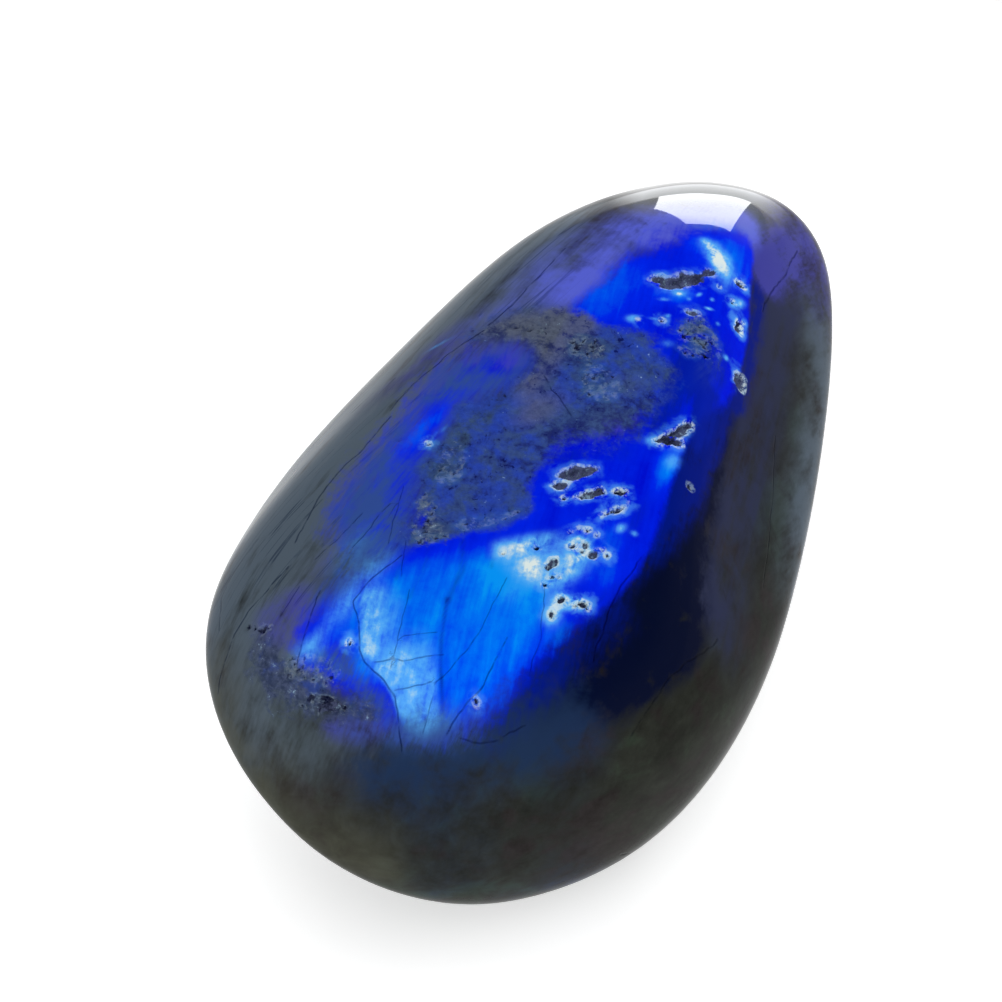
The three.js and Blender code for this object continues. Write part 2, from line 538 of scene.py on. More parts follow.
@dataclass(frozen=True)
class Pores:
    """Patch of pinhole pores: where it is, the size of a pore and how much of it they fill.

    A pore opens wherever noise of a pore's size, with some of a finer one, rises over a level. The
    level is lowest well inside the patch, and the verge keeps pores off the patch's edge.
    """

    points: Sequence[Place]
    cell: float
    share: float
    deep: float
    seed: int
    level: float = 0.55
    lowering: float = 0.9
    verge: float = 0.6
    soft: float = 0.3

    def outside(self, x: Array, y: Array) -> Array:
        """Millimetres outside the nearest pore's edge, roughly.

        Args:
            x: Plan positions across the stone.
            y: Plan positions along the stone.

        Returns:
            The distance, negative inside a pore.
        """
        coarse = Ripple(0.7, self.cell, self.seed).at(x, y)
        fine = Ripple(0.3, self.cell / 2, self.seed + 40).at(x, y)
        patch = Outline(self.points, self.soft).at(x, y)
        level = self.level - self.lowering * self.share * patch
        return (level - (coarse + fine)) * self.cell + self.verge * (1 - patch)


@dataclass
class Hollows:
    """Depth of the hollows at each point of the plan, and what their colours follow."""

    pit: Array
    rim: Array
    floor: Array
    deep: Array

    def sink(self, outside: Array, deep: Array, rim: float, floor: float) -> None:
        """Sinks one more hollow, whose rim and floor count where its edge is the nearest.

        Args:
            outside: Millimetres outside its edge.
            deep: Its depth in millimetres.
            rim: How pale its rim is.
            floor: Tone of its floor.
        """
        closer = outside < self.pit
        self.pit = np.where(closer, outside, self.pit)
        self.rim = np.where(closer, rim, self.rim)
        self.floor = np.where(closer, floor, self.floor)
        self.deep = np.maximum(self.deep, deep)


# Across and along as shares, long, wide, deep, turn, rim and floor.
VUGS = each(
    Vug,
    (0.325, 0.39, 2.7, 1, 0.45, 42, 0.35, 1), (0.254, 0.372, 1.1, 0.8, 0.35, 15, 0.45, 0.6),
    (0.403, 0.442, 1.6, 0.4, 0.25, 52, 0.35, 1), (0.486, -0.062, 1.6, 0.6, 0.4, 28, 0.75, 0.5),
    (0.515, -0.015, 1.7, 0.55, 0.4, 62, 0.7, 0.5), (0.226, -0.22, 2.2, 0.85, 0.4, 30, 0.5, 0.9),
    (0.192, -0.259, 0.9, 0.6, 0.35, 40, 0.8, 0.5), (0.303, -0.265, 1.5, 0.5, 0.4, 28, 0.75),
    (0.402, -0.29, 1.5, 0.42, 0.4, 46, 0.8), (0.393, -0.24, 0.7, 0.45, 0.35, 20),
    (0.303, -0.403, 0.6, 0.45, 0.35, 60), (0.344, -0.39, 0.45, 0.32, 0.35, 80, 0.7),
    (0.385, -0.411, 0.45, 0.36, 0.35, 10, 0.7), (0.262, -0.456, 1, 0.5, 0.4, 75),
    (0.33, -0.53, 0.55, 0.34, 0.35, 60), (0.4, -0.52, 0.65, 0.36, 0.4, 20),
    (0.313, -0.565, 0.42, 0.28, 0.35, 95), (0.53, 0.47, 0.55, 0.5, 0.35, 0),
    (0.572, 0.358, 0.8, 0.4, 0.3, 100, 1, 0.5), (0.636, 0.229, 1, 0.55, 0.35, 115, 0.7, 0.8),
    (0.408, 0.312, 0.8, 0.5, 0.25, 30, 0.4, 1), (-0.345, -0.838, 1.2, 0.35, 0.3, 10, 0, 0.5),
)

# Middle, radius and rim.
PINHOLES = each(
    Pinhole,
    (4.5, 6, 0.15, 0.7), (8.7, -3.2, 0.18, 0.35), (1.2, -10.7, 0.16, 1), (-4.5, -5.3, 0.15, 0.9),
    (2.1, -17.6, 0.14, 0.5), (-4.6, -17, 0.14, 0.9), (2.7, -10, 0.15, 1), (4.8, -8.3, 0.16, 0.9),
    (5.3, -8.4, 0.12, 0.7), (4, -8.7, 0.11, 0.6), (4.4, -8.3, 0.12, 0.6), (4.9, -9.5, 0.16, 0.9),
    (6.1, -9.3, 0.16, 0.9), (5.8, -9.1, 0.12, 0.7), (3.9, -11.3, 0.14, 0.8),
    (4.2, -11.2, 0.12, 0.8), (3.7, -11.8, 0.14, 0.9), (5.4, -12.3, 0.14, 0.9),
    (6, -12.2, 0.12, 0.7), (2.5, -6, 0.12, 0.6), (3.1, -6.8, 0.16, 0.8), (7.5, 9.4, 0.12, 0.9),
    (6.6, 9.8, 0.1, 0.6), (3.3, 5.5, 0.1, 0.7), (-6, -5.4, 0.13, 0), (-4.1, -19.4, 0.16, 0.1),
    (-9.2, -16.9, 0.2, 0.1), (-10.1, -16.7, 0.16, 0), (-2.6, 3.3, 0.17, 0), (-1.9, 3.25, 0.15, 0),
    (-1.3, 3.3, 0.13, 0.1),
)

PORES = each(
    Pores,
    (((0, 3.6), (1.7, 3.9), (3, 3), (2, 1.7), (0.3, 2)), 0.21, 0.46, 0.13, 21),
    (((-4.3, -8.2), (-2.8, -8.2), (-2.4, -9.8), (-1, -10.4), (-3.4, -12.2)), 0.22, 0.5, 0.13, 22),
    (((-1.9, -9.3), (0.1, -8.6), (1.6, -7.6), (1.2, -9), (-1.5, -10.5)), 0.2, 0.4, 0.1, 23),
    (
        ((-6.8, -19.3), (-5.6, -18.9), (-2.9, -19), (-3.2, -19.7), (-6.2, -20.1)),
        0.24, 0.44, 0.12, 24,
    ),
    (((-8, -17.6), (-4.4, -17.5), (-4.6, -19), (-7.4, -19.4)), 0.22, 0.34, 0.1, 25),
    (((-10, -16.4), (-8.4, -16.4), (-8.6, -17.2), (-10.2, -17.2)), 0.22, 0.4, 0.1, 26),
    (((5, 5), (5.7, 7.8), (7.3, 7.1), (8.3, 5.6), (6.4, 3.7)), 0.2, 0.38, 0.1, 27),
    (((-3.9, -4.6), (-2.2, -4.8), (-1.9, -7.8), (-3.8, -8)), 0.22, 0.3, 0.1, 28),
    (((1, 2.2), (3.6, 2), (4.3, -0.2), (2, -0.8)), 0.2, 0.3, 0.1, 29),
)

FLASH = (
    Outline((
        (-0.2, 5.2, 0.7), (0.3, 6.5, 0.9), (0.9, 8.1, 1), (1.7, 10.2, 1.2), (2.7, 11.2, 2.2),
        (3.6, 12.9, 2.2), (4.9, 14.4, 1.3), (6.5, 14.9, 0.8), (7.5, 14, 0.35), (8, 11.4, 0.25),
        (8.6, 8.6, 0.25), (8.9, 6.3, 0.25), (9, 4.6, 0.3), (8.8, 2.8, 0.5), (8, 1.4, 0.5),
        (7.8, -0.4, 0.4), (7.8, -2.6, 0.35), (7.9, -4.9, 0.35), (8, -7.3, 0.4), (7.7, -9.8, 0.4),
        (6.7, -12, 0.4), (5.4, -13.6, 0.8), (4.5, -15.2, 1), (3.6, -16.7, 1.2), (2.5, -18.2, 1.3),
        (0.8, -19.1, 1.2), (-1, -19.5, 0.9), (-2.4, -19.3, 0.9), (-3.7, -19, 0.8),
        (-5.4, -18.8, 0.6), (-7.3, -18, 0.9), (-7.2, -16.2, 1), (-5.9, -14.6, 1.6),
        (-5.1, -13.4, 1.8), (-4.2, -12.2, 1.5), (-3.6, -11, 0.6), (-3, -6, 0.5), (-1, -1, 0.5),
        (-0.2, 3, 0.4),
    )),
    Outline((
        (-1, 2.1), (-2.4, 2.3), (-3.6, 1.7), (-5.2, 0.4, 1.9), (-6, -1.3, 2.2), (-5.9, -3.4, 2.4),
        (-6.4, -5.2, 2.6), (-7.1, -7.8, 2.9), (-7.2, -10.2, 2.9), (-6.6, -12.2, 2.4), (-4.6, -13),
        (-3.3, -11.6), (-3.8, -8), (-3.6, -4.6), (-3.6, -2.4), (-1.9, -0.6), (-0.7, 0.6),
    ), 1.7),
)

DULL = (
    Outline((
        (-5, 2.6, 1.6), (-3.6, 3.8, 1.3), (-2.2, 4.6, 1.3), (0.1, 5.2, 0.6), (1.7, 4.5, 0.6),
        (3.4, 4.7, 0.8), (4.9, 4.6, 0.9), (5.6, 3.4, 0.9), (6.2, 3.3, 1.1), (5.9, 1.9, 1.3),
        (5.8, 0.1, 1.3), (5.4, -1.4, 1.4), (4.4, -2.4, 1.9), (3.3, -3, 2), (2.2, -3.4, 1.4),
        (1.7, -4.6, 0.9), (1.3, -6.1, 0.7), (1.4, -7.1, 0.6), (1.9, -7.8, 0.5), (1.4, -8.8, 0.5),
        (0, -9.6, 0.5), (-0.8, -10.2, 0.4), (-2.7, -11.1, 0.5), (-3.4, -11.9, 0.7),
        (-3.8, -11.1, 1.2), (-3.9, -9.5, 1.4), (-4.3, -7.6, 1.4), (-4.2, -5.8, 0.8),
        (-3.7, -4.2, 0.5), (-4.1, -2.2, 0.9), (-2.6, -1.7, 1.4), (-1.4, -0.3, 1.2),
        (-0.6, 1.1, 0.6), (-1.5, 2.2, 0.9), (-2.6, 2.4, 1.2), (-4.1, 2, 1.4),
    ), passes=1),
    Outline((
        (5.4, 5.6), (5.8, 6.8), (6.4, 7.2), (7, 6.5), (7.5, 5.8), (7.6, 5.1), (7, 4.6), (5.8, 4.6),
    ), 1.1),
)

GRIT = (
    Outline((
        (-9.6, -17.2), (-8.6, -17), (-7.7, -18.3), (-5.9, -18.4), (-5.4, -17.9), (-5, -18.6),
        (-4.2, -19), (-3.2, -18.8), (-2.4, -19), (-2.6, -19.5), (-3.6, -19.8), (-5.2, -20.1),
        (-7.1, -19.8), (-9.2, -19),
    ), 0.8),
    Outline(((5.7, 5.5), (6.1, 6.6), (6.5, 6.8), (7, 6.2), (7.2, 5.5), (6.6, 5.1)), 1.1),
    Outline(((0.2, 3.3), (1.4, 3.7), (2.6, 3), (2, 1.9), (0.6, 2.2)), 0.8),
    Outline(((-4, -8.6), (-3, -8.4), (-2.6, -9.6), (-1.4, -10.4), (-3.4, -11.6)), 0.8),
)

# Middle, half sizes, turn and strength, as in every glow below.
BLUE_ISLANDS = each(
    Glow,
    (1.9, 0.8, 0.7, 0.45, 10, 1.3), (-2.6, -5.6, 0.9, 0.5, 60, 0.7), (-3.2, -10, 0.6, 0.3, 90, 0.6),
    (6.9, 4.2, 0.5, 0.3, 60, 0.8), (5.8, 5.2, 0.4, 0.3, 20, 0.8), (6, 4.6, 1, 0.6, 60, 0.6),
    (6.6, 6, 0.5, 0.2, 40, 0.9), (4.6, 4, 0.8, 0.35, 20, 0.7), (3.4, 2.6, 0.7, 0.25, 30, 0.7),
    (-0.4, -3, 0.8, 0.3, 60, 0.5),
)

LAYERS = {
    Mark.ASH: (
        Outline((
            (-5.4, 2.4), (-2.2, 4.9), (0.1, 5.6), (1.6, 4.7), (1, 3), (-0.2, 1), (-1.6, 2.3),
        ), 1, 0.95),
        *each(Glow,
            (0.2, -1.8, 1.7, 1.1, 50, 0.7), (-0.6, 0, 1.4, 0.8, 60, 0.75),
            (3.8, 1, 1.8, 1.2, 30, 0.35), (6.6, 6, 1.2, 0.9, 50, 0.3),
        ),
    ),
    Mark.AZURE: (
        Outline((
            (-4.4, -13.2), (-3, -12.2), (0.2, -11.1), (1.9, -10), (3.3, -10.5), (4.2, -12),
            (4.2, -14.4), (3, -16.5), (1.9, -18.4), (-1, -19.6), (-2.6, -18.6), (-4.4, -17.4),
            (-5, -15.4),
        ), 1.2, 0.66),
        Band(((-5.9, -1.7), (-4.8, 0.6), (-3.4, 2.2)), 0.8, -0.5),
        Band(((3.8, -12.8), (3.6, -15.5), (3.1, -17.2)), 0.8, 0.3),
        *each(Glow,
            (1.2, 7, 3, 1.6, 65, 0.55), (-2, 1.3, 1.6, 1.2, 30, -0.4),
            (6.4, 12.4, 1.8, 1.5, 60, 0.45), (4.6, 12.4, 1.4, 0.9, 20, 0.35),
            (2.8, 12, 2.2, 1.1, 40, -0.5), (5.6, 14.3, 1.6, 0.7, 30, -0.3),
            (1.3, 3, 1.3, 0.8, 20, -0.6), (-2.5, -1.3, 1.4, 0.8, 50, 0.3),
            (5.2, -13.7, 0.9, 0.5, 60, 0.6), (-3, -18.8, 1.4, 0.6, 10, -0.6),
            (4.2, -1.4, 1.6, 1.2, 40, -0.45), (1.4, -3.4, 1.8, 1.2, 50, -0.3),
            (-0.9, -1.4, 1.4, 1, 50, 0.35), (0.4, -8.6, 1.6, 0.9, 30, 0.4),
            (-2, -3, 1.4, 1, 60, 0.2), (3.4, 3.6, 1.8, 0.6, 10, 0.3),
            (6.6, -4.4, 2.5, 1.2, 70, -0.2), (1, -11.4, 1.6, 0.8, 10, 0.3),
            (-3.2, -14.8, 1.6, 0.8, 80, 0.2), (-1, -15.4, 2.6, 0.5, 84, 0.3),
            (2.4, -11.6, 1.6, 1.2, 70, 0.45), (-3.5, -18.1, 1.1, 0.6, 150, 0.5),
            (0.8, -13.6, 2, 0.5, 80, 0.25), (-5, -4.4, 2.2, 0.6, 72, 0.6),
            (-5.4, -16.2, 1.4, 0.9, 80, 0.5), (5, -9.8, 2.2, 1, 60, 0.4),
            (6.6, -10.2, 1.4, 0.6, 60, 0.3), (5.7, -7.8, 2.6, 1.2, 70, 0.15),
            (7.3, -2.8, 1.2, 0.6, 80, 0.75), (4.8, 8, 1.2, 0.6, 30, 0.7),
            (6.4, 11.2, 1.4, 1, 60, 0.3), (6.7, 2.4, 1.4, 0.35, 78, 0.35),
            (7.4, -3.8, 1.6, 0.4, 80, 0.45),
        ),
    ),
    Mark.PALE: (
        Outline((
            (-4.7, -14.6, 0.2), (-4.5, -15.6, 0.12), (-4.2, -16.6, 0.12), (-3.9, -17.4, 0.12),
            (-3.2, -17.4, 0.4), (-2.8, -16.4, 0.9), (-2.9, -15, 1.1), (-3.5, -14.3, 1),
            (-4.2, -14.2, 0.6),
        ), 0.5, 0.72, 1),
        Outline((
            (-3.2, -17.7, 0.12), (-2.4, -18.1, 0.12), (-1.8, -18.6, 0.12), (-1.4, -19.1, 0.15),
            (-0.4, -19.2, 1), (0.5, -18.8, 0.4), (0.1, -17.6, 0.15), (-0.3, -16.6, 0.5),
            (-1, -15.8, 1), (-1.9, -16.2, 0.9), (-2.4, -17, 0.5),
        ), 0.5, 0.55, 1),
        Outline((
            (0.6, -10.6), (1.4, -10), (2.8, -9.5), (3.3, -10), (3.9, -9.6), (5, -9.5), (5.3, -10.4),
            (4.6, -11.8), (3.4, -11.8), (2, -11.7),
        ), 0.8, 0.62, 1),
        Outline((
            (4.7, 12.4), (5.1, 12.8), (5.9, 12.7), (6.7, 11.9), (6.9, 11.2), (6.4, 10.7),
            (5.9, 11.2), (5.2, 11.7),
        ), 0.5, 0.6),
        Band(((4.2, -9.2), (4.5, -8.9), (5, -9), (5.2, -9.5), (4.9, -9.9)), 0.16, 1.25),
        *each(Glow,
            (-3.8, -15.4, 1, 0.35, 100, 0.2), (-1.2, -17.4, 1, 0.35, 120, 0.2),
            (-4.7, -13.4, 1.8, 0.7, 60, 0.4), (-5.4, -15.6, 1.3, 0.6, 60, 0.45),
            (-6.5, -17.6, 0.8, 0.5, 20, 0.55), (-6.3, -17, 0.5, 0.3, 60, 0.2),
            (-3.2, -17.4, 0.8, 0.45, 140, 0.4), (-2.3, -17, 0.9, 0.6, 120, 0.25),
            (0.6, -18.6, 1.2, 0.5, 20, 0.25), (2.5, -12.2, 1.2, 0.6, 70, 0.25),
            (1.2, -10.7, 0.5, 0.5, 0, 0.7), (2.2, -10, 0.8, 0.35, 20, 0.5),
            (3.8, -11.6, 0.7, 0.4, 20, 0.6), (2.8, -11.1, 0.7, 0.5, 20, 0.75),
            (4.6, -10.6, 0.8, 0.5, 60, 0.45), (5.1, -12.25, 0.8, 0.3, 12, 2),
            (4.5, -12.8, 0.5, 0.26, 70, 1.6), (-6, -12.4, 1.8, 0.9, 70, 0.22),
            (4.5, -13.1, 0.6, 0.5, 90, 0.6), (2.8, -9.5, 1.2, 0.45, 25, 0.6),
            (4.6, -9.4, 0.9, 0.8, 20, 0.35), (5.9, 11.7, 0.8, 0.46, 120, 1.05),
            (5.1, 12.5, 0.35, 0.2, 150, 0.5), (6.6, 11, 1, 0.5, 110, 0.65),
            (5.4, 14.2, 1.6, 0.5, 30, 0.3), (4.7, 8.2, 0.7, 0.35, 20, 0.55),
            (5.3, 9.7, 0.7, 0.35, 50, 0.5), (3.6, 9, 0.5, 0.3, 20, 0.4),
            (7.7, 9.5, 0.5, 0.25, 60, 1.1), (8, 8.4, 0.3, 0.2, 90, 0.6),
            (7.5, -2.5, 0.6, 0.35, 80, 0.5), (6.3, -1.8, 0.5, 0.28, 30, 0.7),
            (6.3, -7.6, 0.3, 0.22, 60, 0.9), (7, -7.6, 0.18, 0.15, 0, 0.7),
            (-4.6, -17, 0.3, 0.3, 0, 0.6), (-4.2, -4.4, 0.45, 0.12, 66, 0.45),
            (-6.4, 1.9, 0.7, 0.14, 40, 0.35), (3, 5.5, 0.35, 0.25, 20, 0.6),
            (4.8, 8.1, 0.22, 0.1, 30, 0.9), (5.4, 8, 0.12, 0.12, 0, 0.55),
            (5.8, 8.6, 0.2, 0.1, 60, 0.7), (6.5, 8.7, 0.12, 0.12, 0, 0.7),
            (6.5, 8, 0.24, 0.09, 20, 0.8), (5.9, 7.4, 0.12, 0.1, 60, 0.6),
            (4.2, 7.4, 0.34, 0.12, 20, 0.6), (4.7, 6.4, 0.16, 0.12, 40, 0.7),
            (4.1, 5.9, 0.3, 0.1, 10, 0.5), (7.2, 7.4, 0.12, 0.12, 0, 0.5),
            (8.1, 5.8, 0.16, 0.16, 0, 0.8), (5.2, 4.6, 0.4, 0.25, 30, 0.35),
        ),
    ),
    Mark.NOSE: (
        Outline((
            (0.3, 13.8), (2.2, 12.8), (6.6, 14), (7.4, 16.4), (7.4, 19.4), (6, 23.4), (0.6, 23),
            (-0.7, 17.2),
        ), 1.3),
        Glow(-1.6, 14.6, 3, 2.4, 0, 0.12),
    ),
    # Partly the left flank's own blue-grey, partly painted sheen: lighter blue-grey along the left
    # flank, the blunt end's edge and the right edge, where the polish would mirror the bright room.
    Mark.HAZE: (
        *each(Glow,
            (-9.5, -8, 14, 4.8, 72, 1.1), (-5, 6, 9, 3.6, 62, 0.5), (-3.4, 12, 4, 1.8, 58, 0.45),
            (-6.4, -9, 5, 2.2, 75, 0.35), (-7, -18, 4, 3, 20, 0.5), (-3, -20.6, 2.6, 0.9, 10, 0.35),
            (-7.6, -21, 3, 1.2, 160, 0.3), (12.2, 13.6, 4, 1.8, 106, 0.65),
            (13.6, 7, 5, 1.6, 98, 0.6), (14, 2, 5, 1.4, 92, 0.55),
        ),
    ),
    Mark.DUSK: (
        Band(((9.3, 13), (9.8, 7), (10.2, 2), (10.6, -4), (11.2, -8)), 1.7, 0.9),
        Glow(-7, 0.5, 5, 1.3, 62, 0.5),
    ),
    Mark.OLIVE: (
        Band(((-12, -18), (-9.4, -21.4), (-5.5, -23.2), (-1, -23.4)), 1.6, 0.55),
    ),
    Mark.TEAL: (
        Outline((
            (4.4, -15), (5.8, -13.6), (7.4, -14.6), (8.4, -15.8), (7.8, -17.2), (5.7, -18.7),
            (3, -19.9), (0.3, -20.9), (-2.2, -21.3), (-3.8, -21), (-2, -20), (0.8, -19.2), (3, -18),
        ), 1.2, 0.85),
        *each(Glow, (5.4, -16, 2.2, 1.4, 40, 0.7), (0, -21.6, 6, 1.2, 5, 0.35)),
    ),
    Mark.NAVY: (
        Outline((
            (9.1, 4.4), (9.6, 1.3), (9.9, -1.4), (10.2, -4), (10.6, -6.4), (11.1, -8.2),
            (11.4, -9.9), (11.3, -11.4, 0.6), (10.6, -12.9, 0.5), (9.6, -14.3, 0.6),
            (8.7, -15.4, 1), (7.8, -15.6, 1.5), (6.9, -15, 1.5), (6.2, -14, 1.2), (5.8, -12.8),
            (6.7, -10.4), (7.4, -4.8), (7.4, 0), (8.4, 4),
        ), 0.8, 0.95),
        *each(Glow,
            (9.6, -11.6, 2.6, 1.2, 70, 0.3), (6, -15, 2.6, 1.4, 40, 0.6),
            (6.5, -19, 3.5, 1.3, 40, 0.22),
        ),
    ),
    Mark.INDIGO: (
        Outline((
            (8.6, 5.1), (9.3, 4), (9.3, 1.8), (9.4, 0), (9.4, -1.8), (9.4, -4, 0.9), (9, -6, 1.2),
            (8.6, -7.8, 1.2), (7.9, -9.3, 1.2), (7.3, -10.8, 1.2), (6.1, -13, 1.3),
            (4.8, -15.4, 1.4), (4, -16.4, 1.4), (3.6, -15), (6.2, -11), (7, -4.9), (7.2, 0.4),
            (7.8, 4),
        ), 0.5),
        Band(((8.3, 11.8), (8.8, 9.4), (9.1, 6.4), (9.3, 4)), 0.6, 0.75),
        Band(((3.2, -18.2), (4.8, -16.4), (5.9, -15), (6.9, -13.4), (7.8, -12)), 1, 0.4),
    ),
    Mark.VIOLET: (
        Outline((
            (7.4, 14), (7.6, 16.2), (8.6, 17.6), (9.6, 17), (9.9, 15.1), (9.5, 13.2), (9, 12),
            (8.2, 12.4),
        ), 0.7, 0.6),
        Outline((
            (-9.8, -16.4), (-9, -15.5), (-7.9, -15), (-6.9, -15.4), (-6.7, -17.6), (-8.7, -17.8),
        ), 0.9, 0.65),
        Outline((
            (-5.3, -20.2), (-3.9, -19.5), (-2.4, -19.2), (-1.5, -19.3), (-1.9, -19.9),
            (-3.7, -20.4),
        ), 0.5, 0.8),
        Band(((7.6, 14.4), (8.3, 12.6)), 0.8, 0.7),
        *each(Glow,
            (-3.4, 2.9, 3, 0.9, 35, 0.45), (-6.6, 0.8, 4, 1.4, 62, 0.3),
            (9.4, 18, 3.6, 2.6, 100, 0.6), (-7, -13.6, 1.6, 1, 70, 0.3),
        ),
    ),
    Mark.MIST: (
        Band(((2.6, 12.4), (4, 13.8), (6.6, 15)), 1.5, 1.1),
        *each(Glow,
            (4.4, 13.9, 1.8, 0.9, 35, 0.5), (8.2, 15.4, 1.8, 1, 100, -0.6),
            (0.1, 7.4, 3.2, 1.1, 70, 0.75), (-2, 7.8, 3.4, 2, 64, 0.4), (0, 12, 2.6, 1.7, 50, 0.45),
            (-4.8, 3.6, 2.6, 1, 45, 0.3),
        ),
    ),
    Mark.DEEP: (
        Outline(((7.2, 3.2), (8.3, 3.4), (8.9, 2.2), (8.7, -1), (7.9, -1.2), (7.8, 0.8)), 0.4, 0.7),
        Band(((-0.9, -10.6), (-0.4, -12.2), (-0.6, -13.9)), 0.24, 0.45),
        Band(((-0.6, -13.9), (-0.3, -15.7), (0.1, -17), (0.5, -18), (0.8, -18.9)), 0.14, 0.6),
        Band(((-2.5, -10.9), (-2.2, -12.4), (-2.4, -14.3)), 0.22, 0.35),
        Band(((-3.3, -11.6), (-3.4, -13.4)), 0.3, 0.4),
        Band(((0.6, -10.2), (0.9, -11.6)), 0.25, 0.3),
        Band(((7.1, 3.9), (7.6, 2.4), (7.85, 0.6), (7.5, -0.4)), 0.28, 0.9),
        *each(Glow,
            (4.6, -3.4, 1.8, 0.9, 20, 0.35), (3.4, 4.2, 2, 0.6, 10, 0.35),
            (2.6, -4.4, 1, 0.6, 60, 0.4), (-3.8, -11.6, 1.2, 0.5, 70, 0.5),
            (5.8, -5.6, 1.6, 0.4, 80, 0.25), (5.4, -13.2, 1.6, 0.4, 60, 0.4),
            (6.4, 2.4, 2.4, 1, 80, 0.8), (6.1, -0.4, 1.6, 0.9, 70, 0.6),
            (6.8, 4.8, 2.4, 1.3, 80, 0.8), (8.2, 4.2, 1.4, 0.4, 95, 0.4),
            (6.9, -6.6, 1.8, 0.5, 80, 0.45), (6.9, -11, 1.2, 0.5, 60, 0.4),
        ),
    ),
    Mark.VEIL: (
        Outline((
            (-1, 2.1), (-2.4, 2.3), (-3.6, 1.7), (-5.2, 0.4), (-5.9, -1.3), (-5.9, -3.4),
            (-6.6, -5.2), (-7.2, -7.8), (-7.2, -10.8), (-6.4, -12.8), (-4.6, -13.4), (-3.4, -12),
            (-3.6, -8), (-3.4, -4.6), (-3.4, -2.4), (-1.9, -0.9), (-0.7, 0.6),
        ), 0.8, 0.8),
        *each(Glow,
            (-5, -4.4, 2.3, 0.6, 72, -0.85), (7.5, 4.2, 1.6, 0.7, 85, 0.35),
            (0.6, -18.4, 1.2, 0.5, 20, 0.15), (-2.8, -19.9, 1.6, 0.5, 10, 0.5),
            (-4.4, -18, 1.2, 0.6, 150, 0.6), (-5.7, -17.9, 1, 0.5, 170, 0.6),
            (-2.4, 0.9, 1.6, 1, 30, -0.45), (-5.4, -10.4, 2.6, 1, 80, 0.25),
            (-4.9, -8.2, 2.4, 0.7, 80, -0.5), (-7.2, -10, 3, 1, 76, 0.4),
            (-5.8, -0.2, 2.2, 0.6, 55, 0.2), (-6.2, -14.4, 1.6, 0.8, 60, 0.6),
            (-3, -19, 1.4, 0.5, 20, 0.5), (-0.6, -19.2, 1.4, 0.6, 10, 0.6),
            (1, -18.8, 2, 0.8, 15, 0.6), (-3.9, -18, 1.4, 0.5, 150, 0.4),
            (-5, -13.6, 1.6, 0.8, 60, 0.3),
        ),
    ),
}

CRACKS = (
    (
        (-3.6, -12.4), (-4.2, -13.2), (-4.8, -14.4), (-5, -15.1), (-4.4, -16.1), (-4, -17.2),
        (-3.6, -17.6), (-2.5, -18), (-1.8, -18.5), (-1.3, -19.2), (-1, -19.9),
    ),
    ((-6.8, -15.1), (-6.9, -16.3), (-6.95, -18)),
    ((-9, -14), (-9.7, -15.2), (-10.3, -16), (-10.8, -16.9), (-11, -18.8)),
    ((-7.1, -4.1), (-7.7, -6.7), (-8.3, -7.8), (-8.8, -9.9), (-9, -12.3)),
    ((2.7, -15), (2.3, -16.9), (1.7, -17.7), (1.1, -18.8)), ((7.6, -8.8), (7, -11.3), (6.9, -14)),
    ((-4.3, 2.7), (-5.1, 1.8), (-6.7, -1.3), (-7.2, -3.2)), ((-1.9, 9.4), (-3.4, 4.7), (-4, 3.4)),
    ((-0.1, 0.3), (0.4, -0.3), (1, -0.7), (1.8, -1.6)),
    ((9.3, 17), (9.2, 14.2), (9, 12.7), (8.9, 10.8)),
)

CROSS_CRACKS = (
    ((-2.5, -14.1), (-2.4, -15.8), (-2.3, -17.3)),
    ((1.8, -12.2), (1.5, -14.7), (1.1, -15.8), (0.5, -16.9), (0.1, -17.4)),
    ((3.8, -12.1), (4.3, -14.3), (4.2, -15.7)),
    ((-11.5, -12), (-12.1, -13.2), (-12.4, -14.5), (-11.9, -16.2)), ((-8, -15), (-8.4, -16.1)),
    ((-6.3, -10.6), (-6.9, -12.1), (-7.5, -13.2)), ((-5.1, -9.6), (-5.5, -10.9), (-5.9, -12.2)),
    ((-3.5, -11.6), (-3.2, -13.1)), ((-4.8, -8.5), (-4.4, -11.6)), ((-2.1, -16.1), (-0.8, -15.6)),
    ((-2.9, -17.4), (-1.3, -16.9), (-0.2, -16.4)), ((-1.7, -18.2), (-0.3, -17.6)),
    ((0, -18.3), (-0.1, -19.1)), ((1.8, -18.9), (2.7, -18.8), (3.6, -18.4), (4.4, -17.7)),
    ((11.9, -9.1), (11.5, -10.4), (10.9, -11.5), (9.9, -14.1), (9.4, -15.5)),
    ((11.4, 4.6), (12, 2.1), (12.6, -1), (13, -3.4)),
)


